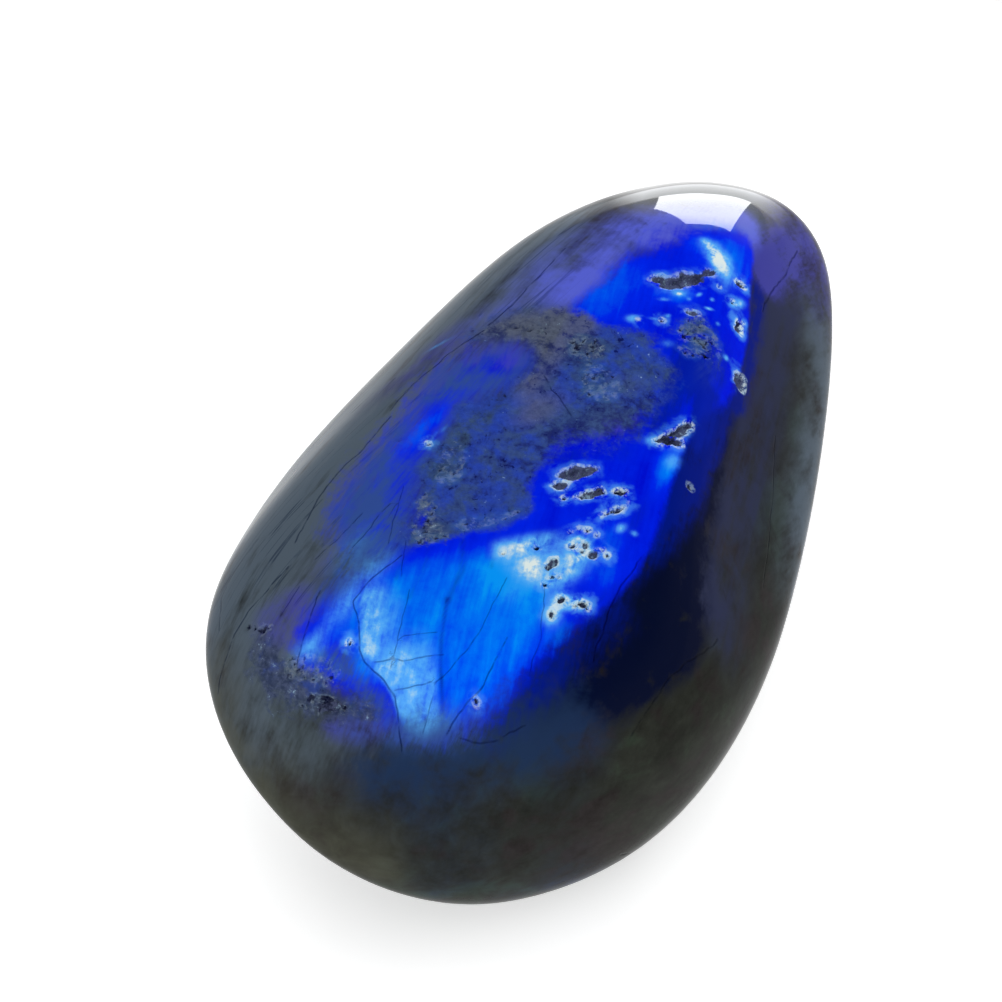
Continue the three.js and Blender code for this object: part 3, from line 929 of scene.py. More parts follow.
@dataclass
class Markings:
    """What is laid out on the crown, seen from above, in millimetres."""

    vugs: Sequence[Vug] = VUGS
    vug_edge: Sequence[Ripple] = each(Ripple, (0.13, 0.42, 3), (0.06, 0.2, 5))
    vug_floor: Ripple = Ripple(0.35, 0.24, 7)
    pinholes: Sequence[Pinhole] = PINHOLES
    pinhole_edge: Ripple = Ripple(0.2, 0.2, 5)
    pinhole_depth: float = 0.2
    pores: Sequence[Pores] = PORES
    pore_rim: float = 0.12
    wall: float = 0.3  # share of a vug's width, or of a pore's cell, that its wall takes
    flare: float = 0.3  # share of a pinhole's radius that its mouth opens by
    flash: Sequence[Outline] = FLASH
    dull: Sequence[Outline] = DULL
    grit: Sequence[Outline] = GRIT
    blue_islands: Sequence[Glow] = BLUE_ISLANDS
    layers: Mapping[Mark, Sequence[Shape]] = field(default_factory=lambda: LAYERS)
    cracks: Sequence[Sequence[Place]] = CRACKS
    cross_cracks: Sequence[Sequence[Place]] = CROSS_CRACKS
    drift_across: Sequence[Ripple] = each(Ripple, (0.06, 0.8, 11), (0.03, 0.3, 13))
    drift_along: Sequence[Ripple] = each(Ripple, (0.06, 0.8, 12), (0.03, 0.3, 14))
    tie: float = 1e-7  # distances within this of each other are alike
    crown_edge: Sequence[Ripple] = each(Ripple, (0.14, 3.4, 31), (0.08, 1.1, 32))
    crown_from: float = -0.52  # upward part of the normal where the crown's markings start
    crown_fade: float = 0.3  # rise of that part over which they come in
    deepest: float = 6.0  # limit of a depth, in widths of the soft edge
    far: float = 3.0  # distance given to whatever is out of reach

    def sunk(self, x: Array, y: Array, half: Array) -> Hollows:
        """Vugs, pinholes and pores.

        A vug is an oval whose edge wanders with noise. The distance to an oval is taken as its
        reach, times the reach less one, over the slope of the reach. The depth grows from the edge
        inwards over six tenths of the half width, and its floor is rough.

        Args:
            x: Plan positions across the stone.
            y: Plan positions along the stone.
            half: Half width and half length of the stone.

        Returns:
            The hollows at those positions.
        """
        wander = sum(ripple.at(x, y) for ripple in self.vug_edge)
        rough, jitter = 1 + self.vug_floor.at(x, y), 1 + self.pinhole_edge.at(x, y)
        nothing = np.zeros(x.shape)
        hollows = Hollows(np.full(x.shape, self.far), nothing, nothing, nothing)
        for vug in self.vugs:
            along, aside = turned(x - vug.across * half[0], y - vug.along * half[1], vug.turn)
            along, aside = along / (vug.long / 2), aside / (vug.wide / 2)
            reach = np.hypot(along, aside) + TINY
            slope = np.hypot(along / (vug.long / 2), aside / (vug.wide / 2)) + TINY
            outside = reach * (reach - 1) / slope + wander
            share = smooth_step(-outside / (self.wall * vug.wide))
            hollows.sink(outside, vug.deep * share * rough, vug.rim, vug.floor)
        for hole in self.pinholes:
            outside = np.hypot(x - hole.x, y - hole.y) * jitter - hole.radius
            share = smooth_step(self.flare - outside / hole.radius)
            hollows.sink(outside, self.pinhole_depth * share, hole.rim, -1.0)
        for pores in self.pores:
            outside = pores.outside(x, y)
            share = smooth_step(-outside / (self.wall * pores.cell))
            hollows.sink(outside, pores.deep * share, self.pore_rim, -1.0)
        return hollows

    def crack_fields(
        self, x: Array, y: Array, cracks: Sequence[Sequence[Place]]
    ) -> tuple[Array, Array]:
        """Signed distance across the nearest crack, and the plain distance to it.

        Where two pieces of a crack are equally near, the one that lies further across counts.

        Args:
            x: Plan positions across the stone.
            y: Plan positions along the stone.
            cracks: Points of each crack.

        Returns:
            Signed and plain distances in millimetres.
        """
        x = x + sum(ripple.at(x, y) for ripple in self.drift_across)
        y = y + sum(ripple.at(x, y) for ripple in self.drift_along)
        signed = plain = np.full(x.shape, self.far)
        for start, end in (ends for crack in cracks for ends in zip(crack, crack[1:])):
            distance, _ = segment_reach(x, y, start, end)
            side = (end[0] - start[0]) * (y - start[1]) - (end[1] - start[1]) * (x - start[0])
            across = side / math.dist(start, end)
            tied = np.abs(distance - plain) < self.tie
            closer = (distance < plain) & ~tied | tied & (np.abs(across) > np.abs(signed))
            plain = np.where(closer, distance, plain)
            signed = np.where(closer, across, signed)
        return signed, plain

    def fields(self, plan: Array, up: Array, half: Array) -> tuple[Array, dict[Mark, Array]]:
        """All fields of the skin, fading where it turns under.

        Args:
            plan: Points of the skin in millimetres, from the middle of its outline.
            up: Upward part of the skin's unit normals.
            half: Half width and half length of the stone.

        Returns:
            Depth of the hollows, and the field of each mark.
        """
        x, y = plan[..., 0], plan[..., 1]
        lifted = up + sum(ripple.at(x, y) for ripple in self.crown_edge)
        crown = smooth_step((lifted - self.crown_from) / self.crown_fade)
        hollows = self.sunk(x, y, half)
        found = {Mark.PIT: self.far - (self.far - hollows.pit) * crown}
        found.update({Mark.RIM: hollows.rim, Mark.SLATE: hollows.floor})
        islands = sum(glow.at(x, y) for glow in self.blue_islands)
        patches = {Mark.FLASH: self.flash, Mark.DULL: self.dull, Mark.GRIT: self.grit}
        for mark, outlines in patches.items():
            depth = np.max([np.divide(*outline.depth(x, y)) for outline in outlines], axis=0)
            if mark is not Mark.FLASH:
                depth = depth - islands
            depth = np.clip(depth, -self.deepest, self.deepest)
            found[mark] = depth * crown - self.deepest * (1 - crown)
        for mark, shapes in self.layers.items():
            found[mark] = sum(shape.at(x, y) for shape in shapes) * crown
        sets = ((Mark.CRACK, Mark.CRACK_REACH, self.cracks),
                (Mark.CROSS, Mark.CROSS_REACH, self.cross_cracks))
        for mark, reach, cracks in sets:
            found[mark], plain = self.crack_fields(x, y, cracks)
            found[reach] = self.far - (self.far - plain) * crown
        return hollows.deep * crown, found


# ---------------------------------------------------------------- shader maths


@dataclass
class Sock:
    """Output of a node that shader maths can be written with."""

    nodes: "Nodes"
    socket: bpy.types.NodeSocket

    def __add__(self, other: "Operand") -> "Sock":
        """Sum."""
        return self.nodes.math("ADD", self, other)

    def __radd__(self, other: "Operand") -> "Sock":
        """Sum, reflected."""
        return self.nodes.math("ADD", other, self)

    def __sub__(self, other: "Operand") -> "Sock":
        """Difference."""
        return self.nodes.math("SUBTRACT", self, other)

    def __rsub__(self, other: "Operand") -> "Sock":
        """Difference, reflected."""
        return self.nodes.math("SUBTRACT", other, self)

    def __mul__(self, other: "Operand") -> "Sock":
        """Product."""
        return self.nodes.math("MULTIPLY", self, other)

    def __rmul__(self, other: "Operand") -> "Sock":
        """Product, reflected."""
        return self.nodes.math("MULTIPLY", other, self)

    def __abs__(self) -> "Sock":
        """Size without the sign."""
        return self.nodes.math("ABSOLUTE", self)

    def least(self, other: "Operand") -> "Sock":
        """Smaller of two values."""
        return self.nodes.math("MINIMUM", self, other)

    def most(self, other: "Operand") -> "Sock":
        """Larger of two values."""
        return self.nodes.math("MAXIMUM", self, other)

    def step(self, low: float, high: float, start: float = 0.0, end: float = 1.0) -> "Sock":
        """Eased step while the value goes from low to high.

        Args:
            low: Value at which it starts.
            high: Value at which it ends; it may be the lower one.
            start: Result before it.
            end: Result after it.

        Returns:
            The step.
        """
        settings = {"interpolation_type": "SMOOTHSTEP", "clamp": True}
        values = {"Value": self, "From Min": low, "From Max": high, "To Min": start, "To Max": end}
        return self.nodes.out("ShaderNodeMapRange", settings, values, "Result")


Operand = Union[Sock, int, float]
Value = Union[Sock, int, float, Sequence[float]]
Settings = Optional[Mapping[str, Any]]
Values = Optional[Mapping[Union[str, int], Value]]


@dataclass(frozen=True)
class Weave:
    """Noise's scale in cycles per unit, detail, roughness and warp, and how it is drawn out.

    One with a heading, in degrees on the plan, lies along it: its stretch is in cycles per unit
    across it, along it and upwards, before the scale.
    """

    scale: float
    detail: float
    roughness: float
    warp: float = 0.0
    heading: Optional[float] = None
    stretch: Triple = (1.0, 1.0, 1.0)


@dataclass
class Nodes:
    """Builder of the nodes of one tree."""

    tree: bpy.types.NodeTree
    noise_gain: float = 2.5

    @classmethod
    def of(cls, owner: Union[bpy.types.Material, bpy.types.World]) -> "Nodes":
        """Builder for the tree of a material or world, emptied.

        Args:
            owner: What the tree belongs to.

        Returns:
            The builder.
        """
        owner.use_nodes = True
        owner.node_tree.nodes.clear()
        return cls(owner.node_tree)

    def add(self, kind: str, settings: Settings = None, values: Values = None) -> bpy.types.Node:
        """New node, its settings made first and then the values or links of its sockets.

        Args:
            kind: Blender's name of the node type.
            settings: Properties of the node; stops is a ramp's list of place and colour.
            values: Value or link of each input, by name or number.

        Returns:
            The node.
        """
        node = self.tree.nodes.new(kind)
        for name, setting in (settings or {}).items():
            if name == "stops":
                self.set_stops(node.color_ramp, setting)
            else:
                setattr(node, name, setting)
        for name, value in (values or {}).items():
            if isinstance(value, Sock):
                self.tree.links.new(value.socket, node.inputs[name])
            else:
                node.inputs[name].default_value = value
        return node

    @staticmethod
    def set_stops(ramp: bpy.types.ColorRamp, stops: Sequence[tuple[float, Colour]]) -> None:
        """Gives a ramp its stops.

        Args:
            ramp: The ramp.
            stops: Place and colour of each.
        """
        while len(ramp.elements) > 1:
            ramp.elements.remove(ramp.elements[-1])
        for index, (place, colour) in enumerate(stops):
            element = ramp.elements[0] if index == 0 else ramp.elements.new(place)
            element.position, element.color = place, colour

    def out(
        self,
        kind: str,
        settings: Settings = None,
        values: Values = None,
        output: Union[str, int] = 0,
    ) -> Sock:
        """Output of a new node; the arguments are those of add, and the output's name or number."""
        return Sock(self, self.add(kind, settings, values).outputs[output])

    def surface(self, kind: str, values: Values, end: str = "ShaderNodeOutputMaterial") -> None:
        """Shader of a kind with its values, led to the tree's end."""
        self.add(end, {}, {"Surface": self.out(kind, {}, values)})

    def math(self, operation: str, *operands: Operand) -> Sock:
        """Math node on up to three values."""
        return self.out("ShaderNodeMath", {"operation": operation}, dict(enumerate(operands)))

    def mix(self, share: Value, first: Value, second: Value, blend: str = "MIX") -> Sock:
        """Colour between two, or the two combined the way that is named."""
        settings = {"data_type": "RGBA", "blend_type": blend, "clamp_factor": True}
        return self.out("ShaderNodeMix", settings, {0: share, 6: first, 7: second}, 2)

    def times(self, first: Value, second: Value) -> Sock:
        """Product of two colours."""
        return self.mix(1.0, first, second, "MULTIPLY")

    def shaded(self, colour: Value, light: Sock) -> Sock:
        """Colour times a number."""
        grey = self.out("ShaderNodeCombineColor", {}, {0: light, 1: light, 2: light})
        return self.times(colour, grey)

    def scaled(self, vector: Sock, amount: float) -> Sock:
        """Vector times a number."""
        values = {"Vector": vector, "Scale": amount}
        return self.out("ShaderNodeVectorMath", {"operation": "SCALE"}, values)

    def mark(self, mark: Mark) -> Sock:
        """Field that the skin carries."""
        settings = {"attribute_type": "GEOMETRY", "attribute_name": mark.value}
        return self.out("ShaderNodeAttribute", settings, output="Fac")

    def noise(self, place: Sock, weave: Weave) -> Sock:
        """Noise round zero, nearly all within a half of it.

        Args:
            place: Where it is read.
            weave: How fine it is and how it is drawn out.

        Returns:
            The noise.
        """
        if weave.heading is not None:
            turn = {"Vector": place, "Rotation": (0.0, 0.0, math.radians(90 - weave.heading))}
            place = self.out("ShaderNodeMapping", {"vector_type": "POINT"}, turn)
            values = {0: place, 1: weave.stretch}
            place = self.out("ShaderNodeVectorMath", {"operation": "MULTIPLY"}, values)
        values = {"Vector": place, "Scale": weave.scale, "Detail": weave.detail,
                  "Roughness": weave.roughness, "Distortion": weave.warp}
        noise = self.out("ShaderNodeTexNoise", {"noise_dimensions": "3D"}, values)
        return noise * self.noise_gain - self.noise_gain / 2


def paint(red: float, green: float, blue: float) -> Colour:
    """Linear colour of a display colour given in steps of 0 to 255."""
    parts = (value / 255 for value in (red, green, blue))
    return (*(p / 12.92 if p <= 0.04045 else ((p + 0.055) / 1.055) ** 2.4 for p in parts), 1.0)


# ---------------------------------------------------------------- finishes


CLEAVAGE = 94.0  # heading of the cleavage's layers on the plan, in degrees
FLANK_GRAIN = 74.0  # heading of the left flank's fibres
SCORE_GRAIN = 66.0  # heading of the scores across it


class Stir(Enum):
    """Noises of the stone, in cycles per millimetre, that stir its colours' edges and tones."""

    CLOUD = Weave(0.17, 4, 0.55)  # drifts of several millimetres
    MOTTLE = Weave(0.5, 5, 0.6, 0.5)  # blotches of a millimetre or two
    RAGGED = Weave(1.3, 5, 0.62, 0.4)  # crumbly edges
    GRAIN = Weave(4.6, 3, 0.7)  # finest grain
    BANDS = Weave(1, 3, 0.6, 0, CLEAVAGE, (1, 0.1, 0.25))  # broad bands along the cleavage
    LAMELLA = Weave(1, 3, 0.6, 0, CLEAVAGE, (3.6, 0.35, 0.7))  # fine bands along the cleavage
    FIBRE = Weave(1, 3, 0.6, 0, FLANK_GRAIN, (6, 0.7, 1.4))  # hairlines along the flank
    STREAK = Weave(1, 3, 0.6, 0, FLANK_GRAIN, (1.2, 0.12, 0.4))  # broad streaks along the flank
    SCORE = Weave(1, 2, 0.5, 0, SCORE_GRAIN, (1.5, 0.05, 0.1))  # long scores along the flank


CLOUD, MOTTLE, RAGGED, GRAIN, BANDS, LAMELLA, FIBRE, STREAK, SCORE = Stir


@dataclass(frozen=True)
class Tint:
    """Colour laid over the stone as a mark, stirred by noise, rises from low to high."""

    mark: Mark
    colour: Colour
    low: float
    high: float
    cover: float
    stir: Sequence[tuple[Stir, float]]


@dataclass(frozen=True)
class StoneFinish:
    """Polished dark feldspar with a blue flash.

    The tints under the flash come first, and those over it dim it. A cover is the most that a
    colour hides of what is under it, and an edge is the range that a mark's mask rises over.
    """

    shade: Colour = paint(39, 41, 36)
    moss: Colour = paint(40, 50, 40)
    umber: Colour = paint(48, 42, 42)
    violet: Colour = paint(58, 56, 196)
    ultramarine: Colour = paint(0, 14, 212)
    royal: Colour = paint(0, 38, 238)
    cobalt: Colour = paint(0, 84, 244)
    azure: Colour = paint(0, 124, 250)
    cyan: Colour = paint(6, 150, 250)
    milky: Colour = paint(92, 180, 250)
    crust: Colour = paint(176, 214, 236)
    cream: Colour = paint(226, 238, 236)
    ash: Colour = paint(80, 88, 106)
    dull: Colour = paint(52, 74, 110)
    dull_blue: Colour = paint(40, 66, 154)
    murk: Colour = paint(32, 42, 88)
    night: Colour = paint(6, 12, 40)
    grit: Colour = paint(68, 78, 108)
    grit_dark: Colour = paint(44, 54, 82)
    crack: Colour = paint(112, 128, 160)
    hollow: Colour = paint(74, 80, 106)
    slate: Colour = paint(84, 92, 128)
    under: Sequence[Tint] = each(
        Tint,
        # Blue-grey of the left flank, partly painted sheen where the flanks would mirror bright
        # surroundings, stirred by streaks and fibres.
        (Mark.HAZE, paint(78, 90, 102), 0, 1, 1,
         ((CLOUD, 0.5), (MOTTLE, 0.4), (STREAK, 0.9), (FIBRE, 0.25))),
        (Mark.DUSK, paint(42, 47, 74), 0, 1, 1,
         ((CLOUD, 0.6), (MOTTLE, 0.7), (BANDS, 0.8), (LAMELLA, 0.3))),
        (Mark.OLIVE, paint(74, 74, 62), 0, 1, 1, ((CLOUD, 0.5), (MOTTLE, 0.6))),
        (Mark.TEAL, paint(26, 46, 80), 0, 1.1, 0.9, ((CLOUD, 0.6), (MOTTLE, 0.9), (RAGGED, 0.5))),
        (Mark.NAVY, paint(4, 11, 40), 0.05, 0.9, 0.96,
         ((MOTTLE, 0.9), (RAGGED, 0.6), (STREAK, 0.5))),
        (Mark.INDIGO, paint(3, 23, 126), 0.1, 0.9, 0.95, ((LAMELLA, 0.6), (RAGGED, 0.6))),
        (Mark.VIOLET, paint(66, 66, 160), 0, 1, 0.85,
         ((MOTTLE, 0.9), (FIBRE, 0.5), (RAGGED, 0.5))),
        (Mark.MIST, paint(90, 101, 218), 0, 1, 0.9,
         ((CLOUD, 0.8), (FIBRE, 0.25), (MOTTLE, 0.8), (RAGGED, 0.3))),
    )
    over: Sequence[Tint] = each(
        Tint,
        (Mark.DEEP, paint(4, 28, 150), 0.1, 0.95, 0.85, ((LAMELLA, 0.7), (RAGGED, 0.5))),
        (Mark.VEIL, paint(50, 78, 142), 0, 1.1, 0.95,
         ((FIBRE, 0.7), (STREAK, 0.5), (RAGGED, 0.2), (MOTTLE, 0.8))),
    )
    score_cover: float = 0.7
    crack_cover: float = 0.8
    dull_cover: float = 0.92
    grit_cover: float = 0.9
    halo_cover: float = 0.5
    flash_edge: tuple[float, float] = (-0.6, 0.6)
    dull_edge: tuple[float, float] = (-0.6, 0.6)
    grit_edge: tuple[float, float] = (-0.5, 0.7)
    dull_weave: Weave = Weave(0.8, 5, 0.65, 0.4)
    murk_weave: Weave = Weave(1.4, 5, 0.7, 0.3)
    pore_weave: Weave = Weave(2.4, 3, 0.65)
    speck_weave: Weave = Weave(3, 3, 0.65)
    crumb_weave: Weave = Weave(2.2, 4, 0.7, 0.3)
    polish: float = 0.12
    ior: float = 1.5
    specular: float = 0.004
    flank_gloss: float = 0.02
    coat_roughness: float = 0.03
    coat_ior: float = 1.7
    bump_strength: float = 0.4
    bump_height: float = 0.15 * MM

    def material(self, name: str) -> bpy.types.Material:
        """New material with the finish laid out in it.

        Args:
            name: Its name.

        Returns:
            The material.
        """
        material = bpy.data.materials.new(name)
        Dressing(self, Nodes.of(material)).lay()
        return material


@dataclass
class Dressing:
    """A stone's finish as it is laid out in nodes, on Object coordinates in millimetres."""

    finish: StoneFinish
    nodes: Nodes

    def __post_init__(self) -> None:
        """Reads the coordinates, and makes the noises at them."""
        coordinates = self.nodes.out("ShaderNodeTexCoord", output="Object")
        self.place = self.nodes.scaled(coordinates, 1 / MM)
        self.noises = {stir: self.nodes.noise(self.place, stir.value) for stir in Stir}

    def stirred(self, amounts: Sequence[tuple[Stir, float]]) -> Sock:
        """Sum of noises, each times its amount."""
        return sum((self.noises[stir] * amount for stir, amount in amounts), 0.0)

    def laid(self, colour: Sock, tint: Tint) -> Sock:
        """Colour with a tint laid over it, its mark times one plus the noises that stir it."""
        field = self.nodes.mark(tint.mark) * (1.0 + self.stirred(tint.stir))
        return self.nodes.mix(field.step(tint.low, tint.high) * tint.cover, colour, tint.colour)

    def lay(self) -> None:
        """Lays the colours from the body outwards to the vugs, then the gloss and the relief."""
        n, finish = self.nodes, self.finish
        ragged, grain = self.noises[RAGGED], self.noises[GRAIN]
        colour = self.body()
        for tint in finish.under:
            colour = self.laid(colour, tint)
        colour = self.scored(colour)
        flash = self.flash_mask()
        colour = n.mix(flash, colour, self.flash())
        for tint in finish.over:
            colour = self.laid(colour, tint)
        crumbs = ragged * 0.7 + self.noises[MOTTLE] * 0.5 + grain * 0.3
        dull = (n.mark(Mark.DULL) + crumbs).step(*finish.dull_edge)
        grit = (n.mark(Mark.GRIT) + crumbs * 1.6).step(*finish.grit_edge)
        colour = n.mix(dull * finish.dull_cover, colour, self.dull())
        colour = n.mix(grit * finish.grit_cover, colour, self.grit())
        colour = self.milky(colour)
        crack = self.cracks()
        colour = n.mix(crack * finish.crack_cover, colour, n.times(colour, finish.crack))
        edge = n.mark(Mark.PIT) + grain * 0.1 + ragged * 0.08
        inside, pale_rim = edge.step(-0.02, -0.1), n.mark(Mark.RIM)
        halo = pale_rim * edge.step(0.5, 0.1) * (ragged * 1.2 + 0.5).step(0.1, 0.8) * flash
        colour = n.mix(halo * finish.halo_cover, colour, finish.milky)
        rim = pale_rim * edge.step(0.15, 0.03) * (ragged * 1.3 + grain + 0.38).step(0.0, 0.8)
        colour = n.mix(rim, colour, n.mix(grain.step(-0.2, 0.4), finish.crust, finish.cream))
        colour = n.mix(inside, colour, self.hollow())
        worn = dull.most(grit)
        rough = self.noises[CLOUD].step(-0.4, 0.5) * 0.06 + finish.polish
        rough = rough + worn * 0.25 + crack * 0.2 + rim * 0.3 + inside * 0.5
        relief = worn * (grain * 0.4 + ragged * 0.5) - crack * 0.5 + inside * grain * 0.6
        relief = relief + self.noises[FIBRE] * 0.012
        bump = {"Strength": finish.bump_strength, "Distance": finish.bump_height, "Height": relief}
        gloss = n.mark(Mark.NOSE).least(1.0) * (1 - finish.flank_gloss) + finish.flank_gloss
        gloss = gloss * (1.0 - worn * 0.5) * (1.0 - inside)
        n.surface("ShaderNodeBsdfPrincipled", {
            "Base Color": colour,
            "Roughness": rough,
            "Normal": n.out("ShaderNodeBump", {}, bump),
            "IOR": finish.ior,
            "Specular IOR Level": finish.specular,
            "Coat Weight": gloss,
            "Coat Roughness": finish.coat_roughness,
            "Coat IOR": finish.coat_ior,
        })

    def body(self) -> Sock:
        """Dark stone round the flash: olive, mossy and umber in drifts, mottled and streaked.

        Returns:
            The colour.
        """
        n, finish, cloud, mottle = self.nodes, self.finish, self.noises[CLOUD], self.noises[MOTTLE]
        base = n.mix((cloud + mottle * 0.6).step(0.0, 0.4) * 0.8, finish.shade, finish.moss)
        base = n.mix((cloud + mottle * 0.5).step(-0.1, -0.45) * 0.8, base, finish.umber)
        light = ((MOTTLE, 0.6), (CLOUD, 0.35), (STREAK, 0.35), (RAGGED, 0.2), (FIBRE, 0.12),
                 (GRAIN, 0.1))
        return n.shaded(base, self.stirred(light) + 1.0)

    def scored(self, colour: Sock) -> Sock:
        """Colour with the left flank's scores, which fade towards the crown and the blunt end.

        Args:
            colour: What they are drawn on.

        Returns:
            The colour.
        """
        n, axes = self.nodes, {0: self.place}
        aside, along = (n.out("ShaderNodeSeparateXYZ", {}, axes, way) for way in "XY")
        line = abs(self.noises[SCORE]).step(0.05, 0.0) * n.mark(Mark.HAZE).step(0.1, 0.7)
        line = line * (self.noises[MOTTLE] + 0.3).step(0.0, 0.5)
        line = line * aside.step(3.0, -1.0) * along.step(-19.0, -13.0)
        return n.mix(line * self.finish.score_cover, colour, n.times(colour, self.finish.crack))

    def flash_mask(self) -> Sock:
        """Where the flash shows, its edge crumbled, and drawn into fibres under the veil.

        Returns:
            Mask from 0 to 1.
        """
        veil = self.nodes.mark(Mark.VEIL).step(0.0, 0.6)
        depth = self.nodes.mark(Mark.FLASH) + self.noises[LAMELLA] * 0.25
        depth = depth + self.noises[RAGGED] * (0.45 - veil * 0.33)
        return (depth + self.noises[FIBRE] * veil * 0.5).step(*self.finish.flash_edge)

    def flash(self) -> Sock:
        """Blue flash from violet and ultramarine to cyan, banded along the cleavage.

        Returns:
            The colour.
        """
        tone = self.nodes.mark(Mark.AZURE) + self.noises[BANDS] * 0.28
        tone = tone + self.noises[LAMELLA] * 0.16 + self.noises[RAGGED] * 0.16
        tone = (tone + self.noises[GRAIN] * 0.06) * 0.7 + 0.3
        blues = (self.finish.violet, self.finish.ultramarine, self.finish.royal,
                 self.finish.cobalt, self.finish.azure, self.finish.cyan)
        stops = tuple(zip((0.0, 0.14, 0.5, 0.72, 0.9, 1.0), blues))
        return self.nodes.out("ShaderNodeValToRGB", {"stops": stops}, {"Fac": tone}, "Color")

    def dull(self) -> Sock:
        """Dull patches: slate blue to warm grey, scaly, with dark pores and pale specks.

        Returns:
            The colour.
        """
        n, finish, ragged = self.nodes, self.finish, self.noises[RAGGED]
        patch = n.noise(self.place, finish.dull_weave)
        murk, azure = n.noise(self.place, finish.murk_weave), n.mark(Mark.AZURE)
        blue = (patch + ragged * 0.3 + azure * 0.7).step(-0.3, 0.35)
        ash = n.mark(Mark.ASH) * (1.0 + patch * 0.5 + ragged * 0.3)
        colour = n.mix(ash.step(0.1, 0.9), n.mix(blue, finish.dull, finish.dull_blue), finish.ash)
        colour = n.mix((murk + azure * 0.7).step(0.05, -0.5) * 0.85, colour, finish.murk)
        colour = n.shaded(colour, murk * 0.5 + self.noises[GRAIN] * 0.35 + 1.05)
        pore = n.noise(self.place, finish.pore_weave) + murk * 0.5
        speck = n.noise(self.place, finish.speck_weave) + murk * 0.3
        colour = n.mix(pore.step(-0.36, -0.56) * 0.85, colour, finish.night)
        return n.mix(speck.step(0.45, 0.7) * 0.5, colour, finish.crust)

    def grit(self) -> Sock:
        """Gritty patches: greys in crumbs, with blue left between them and dark and pale specks.

        Returns:
            The colour.
        """
        n, finish, grain = self.nodes, self.finish, self.noises[GRAIN]
        crumb = n.noise(self.place, finish.crumb_weave)
        colour = n.mix(crumb.step(-0.25, 0.3), finish.grit_dark, finish.grit)
        colour = n.mix(self.noises[MOTTLE].step(0.05, 0.5) * 0.6, colour, finish.dull_blue)
        colour = n.mix((crumb + grain * 0.4).step(0.3, 0.7) * 0.6, colour, finish.crust)
        return n.mix((crumb + grain * 0.3).step(-0.3, -0.6) * 0.9, colour, finish.night)

    def hollow(self) -> Sock:
        """Floor of the vugs: brown to slate, with dark and pale crumbs.

        Returns:
            The colour.
        """
        n, finish, tone = self.nodes, self.finish, self.nodes.mark(Mark.SLATE)
        ragged, grain = self.noises[RAGGED], self.noises[GRAIN]
        floor = n.mix(tone, finish.hollow, finish.slate)
        floor = n.mix((grain + ragged * 0.6).step(0.1, 0.5) * 0.55, floor, finish.crust)
        dark = (grain * 0.6 - ragged * 0.8).step(-0.15, 0.3) * (0.9 - tone * 0.35)
        floor = n.mix(dark, floor, finish.night)
        return n.mix(tone.step(-0.2, -0.8) * 0.7, floor, finish.night)

    def milky(self, colour: Sock) -> Sock:
        """Milky light and crust laid over a colour, cyan where thin and cream where thick.

        Args:
            colour: What they are laid on.

        Returns:
            The colour.
        """
        n, finish, field = self.nodes, self.finish, self.nodes.mark(Mark.PALE)
        stirred = self.noises[RAGGED] * (field + 0.1) + self.noises[LAMELLA] * 0.4
        stirred = stirred + self.noises[MOTTLE] * 0.5 + self.noises[GRAIN] * 0.25
        pale = field * (1.0 + stirred)
        colour = n.mix(pale.step(0.0, 0.95) * 0.92, colour, finish.milky)
        colour = n.mix(pale.step(0.7, 1.25) * 0.8, colour, finish.crust)
        return n.mix(pale.step(1.1, 1.6), colour, finish.cream)

    def cracks(self) -> Sock:
        """Hairline along each cleavage crack, its width wandering and its ends fading.

        Returns:
            Mask from 0 to 1.
        """
        mark = self.nodes.mark
        first = abs(mark(Mark.CRACK)).step(0.065, 0.01) * mark(Mark.CRACK_REACH).step(0.3, 0.15)
        second = abs(mark(Mark.CROSS)).step(0.05, 0.005) * mark(Mark.CROSS_REACH).step(0.3, 0.15)
        return first.most(second * 0.8) * (self.noises[RAGGED] * 0.8 + 0.6).step(0.15, 0.7)


@dataclass(frozen=True)
class FloorFinish:
    """Plain pale paper floor."""

    colour: Colour = (0.9, 0.9, 0.9, 1.0)
    roughness: float = 0.7
    specular: float = 0.1
    glow: float = 0.6

    def material(self, name: str) -> bpy.types.Material:
        """New material of the floor.

        Args:
            name: Its name.

        Returns:
            The material.
        """
        material = bpy.data.materials.new(name)
        Nodes.of(material).surface("ShaderNodeBsdfPrincipled", {
            "Base Color": self.colour,
            "Roughness": self.roughness,
            "Specular IOR Level": self.specular,
            "Emission Color": self.colour,
            "Emission Strength": self.glow,
        })
        return material


@dataclass(frozen=True)
class GlowFinish:
    """White light of a window."""

    strength: float
    colour: Colour = (0.96, 0.98, 1.0, 1.0)

    def material(self, name: str) -> bpy.types.Material:
        """New glowing material.

        Args:
            name: Its name.

        Returns:
            The material.
        """
        material = bpy.data.materials.new(name)
        values = {"Color": self.colour, "Strength": self.strength}
        Nodes.of(material).surface("ShaderNodeEmission", values)
        return material


# ---------------------------------------------------------------- pieces


def in_scene(name: str, data: bpy.types.ID) -> bpy.types.Object:
    """New object of some data, linked to the scene.

    Args:
        name: Name of the object.
        data: Its mesh, light or camera.

    Returns:
        The object.
    """
    thing = bpy.data.objects.new(name, data)
    bpy.context.scene.collection.objects.link(thing)
    return thing


def aim(thing: bpy.types.Object, place: Sequence[float], way: Vector) -> None:
    """Puts a light or camera at a place, looking along a way."""
    thing.location = place
    thing.rotation_euler = way.to_track_quat("-Z", "Y").to_euler()


